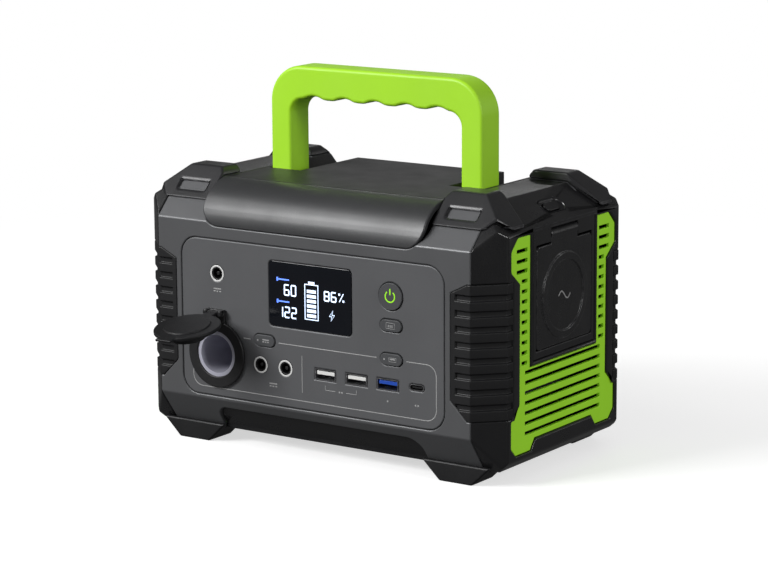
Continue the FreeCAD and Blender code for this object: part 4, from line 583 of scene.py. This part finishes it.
def makeButtonSigns():
    thickness, line, dot = printing["thickness"], buttonSigns["line"], buttonSigns["dot"]
    for name in ("dc_button", "usb_button", "display_button"):
        centre = boxCentre(name)
        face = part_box(name)[0].y / mm - buttonSigns["proud"]
        aside = centre.x + buttonSigns["aside"]
        if name == "dc_button":
            bars = makeDirectCurrentSign(aside, centre.z, buttonSigns["currentSize"], face)
        elif name == "usb_button":
            wide, tall = buttonSigns["tongue"]
            bars = [addFrame(*buttonSigns["plug"], line, thickness),
                    addBar((0, 0, buttonSigns["tongueRise"]), (wide, thickness, tall))]
            bars = [shift(bar, (aside, face, centre.z)) for bar in bars]
        else:
            wide, tall = buttonSigns["column"]
            bars = [addFrame(*buttonSigns["screen"], line, thickness)]
            for step in (-1, 0, 1):
                at = (step * buttonSigns["columnPitch"], 0, -buttonSigns["columnDrop"])
                bars.append(addBar(at, (wide, thickness, tall)))
            bars = [shift(bar, (centre.x, face, centre.z)) for bar in bars]
        if name != "display_button":
            bars.append(addBar((centre.x - buttonSigns["dotAside"], face, centre.z), (dot, thickness, dot)))
        place(joinPieces(name + "_sign", bars), looks["print_grey"], nodeBodies[name])


# the arc's ends are in degrees
powerSign = {"radius": 2.9, "first": 128, "last": 412, "steps": 24, "line": 0.75, "thickness": 0.16,
             "stemRise": 2.5, "stemTall": 3.2, "proud": 0.02}


def makePowerSign():
    centre = boxCentre("power_button")
    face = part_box("power_button")[0].y / mm - powerSign["proud"]
    line, thickness = powerSign["line"], powerSign["thickness"]
    points = arcPoints(0, 0, powerSign["radius"], powerSign["first"], powerSign["last"], powerSign["steps"])
    arc = addTrace(points, line, thickness)
    stem = addBar((0, 0, powerSign["stemRise"]), (line, thickness, powerSign["stemTall"]))
    sign = joinPieces("power_sign", [shift(part, (centre.x, face, centre.z)) for part in (arc, stem)])
    place(sign, looks["power_green"], nodeBodies["power_button"])


digitBars = {"0": "abcdef", "1": "bc", "2": "abged", "6": "acdefg", "8": "abcdefg"}
# across, up, and whether the bar stands
barPlaces = {"a": (0, 1, 0), "b": (0.5, 0.5, 1), "c": (0.5, -0.5, 1), "d": (0, -1, 0), "e": (-0.5, -0.5, 1),
             "f": (-0.5, 0.5, 1), "g": (0, 0, 0)}
digitShape = {"wide": 3.6, "pitch": 4.4, "stroke": 0.75, "gap": 0.15}
# places are across from the window's left side and down from its top
display = {
    "proud": 0.02, "thickness": 0.1,
    "figures": (("60", 11.6, 14.8, 6.2), ("122", 7.4, 26.8, 6.2), ("86", 37.4, 15.4, 5.6)),
    "labelDowns": (9.4, 21.2), "labelParts": ((9.2, 8.0, 0.7), (5.6, 1.0, 2.0)),
    "battery": 27.6, "shellHalf": (4.2, 9.3), "shellDown": 19.7, "shellLine": 0.7,
    "tipDown": 9.4, "tipSize": (4.0, 1.3),
    "rungs": 6, "rungDown": 27.0, "rungPitch": 2.6, "rungSize": (5.8, 1.7),
    "bolt": ((0.6, 2.8), (-1.6, -0.3), (-0.1, -0.3), (-0.6, -2.8), (1.6, 0.5), (0.1, 0.5)),
    "boltAt": (40.6, 25.6), "boltLine": 0.55,
    "percentDots": ((45.4, 13.6), (48.0, 17.0)), "percentDot": 1.1, "percentAt": (46.7, 15.3),
    "percentSize": (0.55, 5.2), "percentTilt": 30}


def makeDigit(digit, x, z, height, face):
    stroke, gap, wide = digitShape["stroke"], digitShape["gap"], digitShape["wide"]
    bars = []
    for letter in digitBars[digit]:
        across, up, standing = barPlaces[letter]
        length = (height - stroke) / 2 - gap if standing else wide - stroke - gap
        size = (stroke, display["thickness"], length) if standing else (length, display["thickness"], stroke)
        bars.append(addBar((x + across * (wide - stroke), face, z + up * (height - stroke) / 2), size))
    return bars


def makeDisplay():
    low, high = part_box("display_window")
    face = low.y / mm - display["proud"]
    left, top = low.x / mm, high.z / mm
    thickness = display["thickness"]

    def litBar(across, down, wide, tall, tilt=0.0):
        return addBar((left + across, face, top - down), (wide, thickness, tall), math.radians(tilt))

    white, blue = [], []
    for text, across, down, height in display["figures"]:
        for spot, digit in enumerate(text):
            white += makeDigit(digit, left + across + spot * digitShape["pitch"], top - down, height, face)
    for down in display["labelDowns"]:
        blue += [litBar(across, down, wide, tall) for across, wide, tall in display["labelParts"]]
    shell = addFrame(*display["shellHalf"], display["shellLine"], thickness)
    white.append(shift(shell, (left + display["battery"], face, top - display["shellDown"])))
    white.append(litBar(display["battery"], display["tipDown"], *display["tipSize"]))
    for rung in range(display["rungs"]):
        down = display["rungDown"] - rung * display["rungPitch"]
        white.append(litBar(display["battery"], down, *display["rungSize"]))
    bolt = addTrace(display["bolt"], display["boltLine"], thickness, closed=True)
    white.append(shift(bolt, (left + display["boltAt"][0], face, top - display["boltAt"][1])))
    for dot in display["percentDots"]:
        white.append(litBar(*dot, display["percentDot"], display["percentDot"]))
    white.append(litBar(*display["percentAt"], *display["percentSize"], display["percentTilt"]))
    place(joinPieces("display_figures", white), looks["display_light"])
    place(joinPieces("display_marks", blue), looks["display_blue"])


lidSign = {"long": 12, "swing": 2.2, "steps": 20, "line": 0.8, "thickness": 0.14, "proud": 0.02,
           "rimRadii": (22.2, 19.2), "rimWidth": 0.45, "rimThickness": 0.2, "rimSunk": 0.12}


def makeLidSign():
    # a plain wave in the middle of the lid stands for alternating current
    steps, quarterTurn = lidSign["steps"], math.pi / 2
    wave = []
    for step in range(steps + 1):
        share = step / steps
        wave.append(((share - 0.5) * lidSign["long"], math.sin(share * 2 * math.pi) * lidSign["swing"]))
    middle = boxCentre("ac_receptacle").z
    sign = addTrace(wave, lidSign["line"], lidSign["thickness"])
    sign.rotation_euler.z = quarterTurn
    sign.location = (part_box("ac_housing")[1].x + lidSign["proud"] * mm, 0, middle * mm)
    settle(sign)
    sign.name = "lid_sign"
    place(sign, looks["print_grey"], nodeBodies["ac_cover"])
    # painted highlights: thin light grey bands on the rims of the lid's ring, standing in for the bright
    # reflections there
    sunk = lidSign["rimSunk"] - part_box("ac_cover")[1].x / mm
    rims = [addRing((0, sunk, middle), radius, lidSign["rimWidth"], lidSign["rimThickness"])
            for radius in lidSign["rimRadii"]]
    for rim in rims:
        rim.rotation_euler.z = quarterTurn
        settle(rim)
    place(joinPieces("lid_ring_highlights", rims), looks["rim_highlight_paint"], nodeBodies["ac_cover"])


makePanelPrint()
makeJackRings()
makePortSigns()
makeButtonSigns()
makePowerSign()
makeDisplay()
makeLidSign()
print("prints and display made")


# edges are how far from the part the floor starts and ends its fade, in metres
studio = {"floorSize": 40.0, "floorColour": (0.62, 0.62, 0.62), "floorRough": 0.6, "floorShine": 0.1,
          "floorLift": 0.62, "farLift": 1.0, "nearEdge": 0.16, "farEdge": 0.75, "bounce": 0.16,
          "ambient": 0.26, "mirror": 0.07, "backdrop": 1.0}
softboxes = {
    "key_light": dict(at=(-1.5, -2.4, 1.7), wide=1.4, tall=1.2, power=86),
    "strip_light": dict(at=(-0.9, -1.0, 1.4), wide=1.6, tall=0.18, power=6),
    "side_light": dict(at=(2.4, -0.4, 0.9), wide=0.4, tall=1.0, power=16),
    "rim_light": dict(at=(1.7, 1.9, 0.75), wide=0.22, tall=1.3, power=4),
    "back_light": dict(at=(-0.8, 1.9, 0.75), wide=1.2, tall=0.08, power=1.2)}


def addSoftbox(name, at, wide, tall, power):
    deselectAll()
    bpy.ops.object.light_add(type="AREA", location=at)
    light = bpy.context.object
    light.name = name
    light.data.shape = "RECTANGLE"
    light.data.size = wide
    light.data.size_y = tall
    light.data.energy = power
    aim = (cadBox[0] + cadBox[1]) / 2
    light.rotation_euler = (aim - Vector(at)).to_track_quat("-Z", "Y").to_euler()


def makeFloorPaint():
    # white paper: it fades to plain white away from the part, and bounces and mirrors only a little light
    paint = bpy.data.materials.new("floor_paint")
    paint.use_nodes = True
    tree = paint.node_tree
    shader = tree.nodes["Principled BSDF"]
    shader.inputs["Base Color"].default_value = (*studio["floorColour"], 1)
    shader.inputs["Roughness"].default_value = studio["floorRough"]
    shader.inputs["Specular IOR Level"].default_value = studio["floorShine"]
    shader.inputs["Emission Color"].default_value = (1, 1, 1, 1)
    shader.inputs["Emission Strength"].default_value = studio["floorLift"]
    away = addNode(tree, "ShaderNodeVectorMath", operation="LENGTH")
    tree.links.new(addNode(tree, "ShaderNodeTexCoord").outputs["Object"], away.inputs[0])
    fade = spread(tree, away.outputs["Value"], studio["nearEdge"], studio["farEdge"], 0, 1)
    plain = addNode(tree, "ShaderNodeEmission")
    plain.inputs["Strength"].default_value = studio["farLift"]
    shown = addNode(tree, "ShaderNodeMixShader")
    tree.links.new(fade, shown.inputs[0])
    tree.links.new(shader.outputs[0], shown.inputs[1])
    tree.links.new(plain.outputs[0], shown.inputs[2])
    dim = addNode(tree, "ShaderNodeEmission")
    rays = addNode(tree, "ShaderNodeLightPath").outputs
    given = spread(tree, rays["Is Glossy Ray"], 0, 1, studio["bounce"], studio["mirror"])
    tree.links.new(given, dim.inputs["Strength"])
    mixed = addNode(tree, "ShaderNodeMixShader")
    tree.links.new(rays["Is Camera Ray"], mixed.inputs[0])
    tree.links.new(dim.outputs[0], mixed.inputs[1])
    tree.links.new(shown.outputs[0], mixed.inputs[2])
    tree.links.new(mixed.outputs[0], tree.nodes["Material Output"].inputs["Surface"])
    return paint


def buildStudio():
    deselectAll()
    bpy.ops.mesh.primitive_plane_add(size=studio["floorSize"])
    floor = bpy.context.object
    floor.name = "floor"
    floor.data.materials.append(makeFloorPaint())
    world = bpy.data.worlds.new("studio")
    bpy.context.scene.world = world
    world.use_nodes = True
    tree = world.node_tree
    back = tree.nodes["Background"]
    back.inputs["Color"].default_value = (1, 1, 1, 1)
    rays = addNode(tree, "ShaderNodeLightPath").outputs
    seen = spread(tree, rays["Is Camera Ray"], 0, 1, studio["ambient"], studio["backdrop"])
    less = spread(tree, rays["Is Glossy Ray"], 0, 1, 0, studio["ambient"] - studio["mirror"])
    tree.links.new(maths(tree, "SUBTRACT", seen, less), back.inputs["Strength"])
    for name, settings in softboxes.items():
        addSoftbox(name, **settings)
    bpy.context.scene.view_settings.view_transform = "Standard"


shot = {"at": (0.8359, -1.2242, 0.383), "yaw": 34.33, "pitch": 11.44, "roll": -0.35, "lens": 130.45,
        "film": 36.0, "near": 0.01, "far": 100}


def buildCamera():
    deselectAll()
    bpy.ops.object.camera_add(location=shot["at"])
    camera = bpy.context.object
    camera.name = "camera"
    turn = Euler((math.radians(90 - shot["pitch"]), 0, math.radians(shot["yaw"]))).to_matrix().to_4x4()
    turn = turn @ Matrix.Rotation(math.radians(shot["roll"]), 4, "Z")
    camera.matrix_world = Matrix.Translation(shot["at"]) @ turn
    camera.data.lens = shot["lens"]
    camera.data.sensor_width = shot["film"]
    camera.data.clip_start = shot["near"]
    camera.data.clip_end = shot["far"]
    bpy.context.scene.camera = camera


buildStudio()
buildCamera()
print("studio and camera ready")
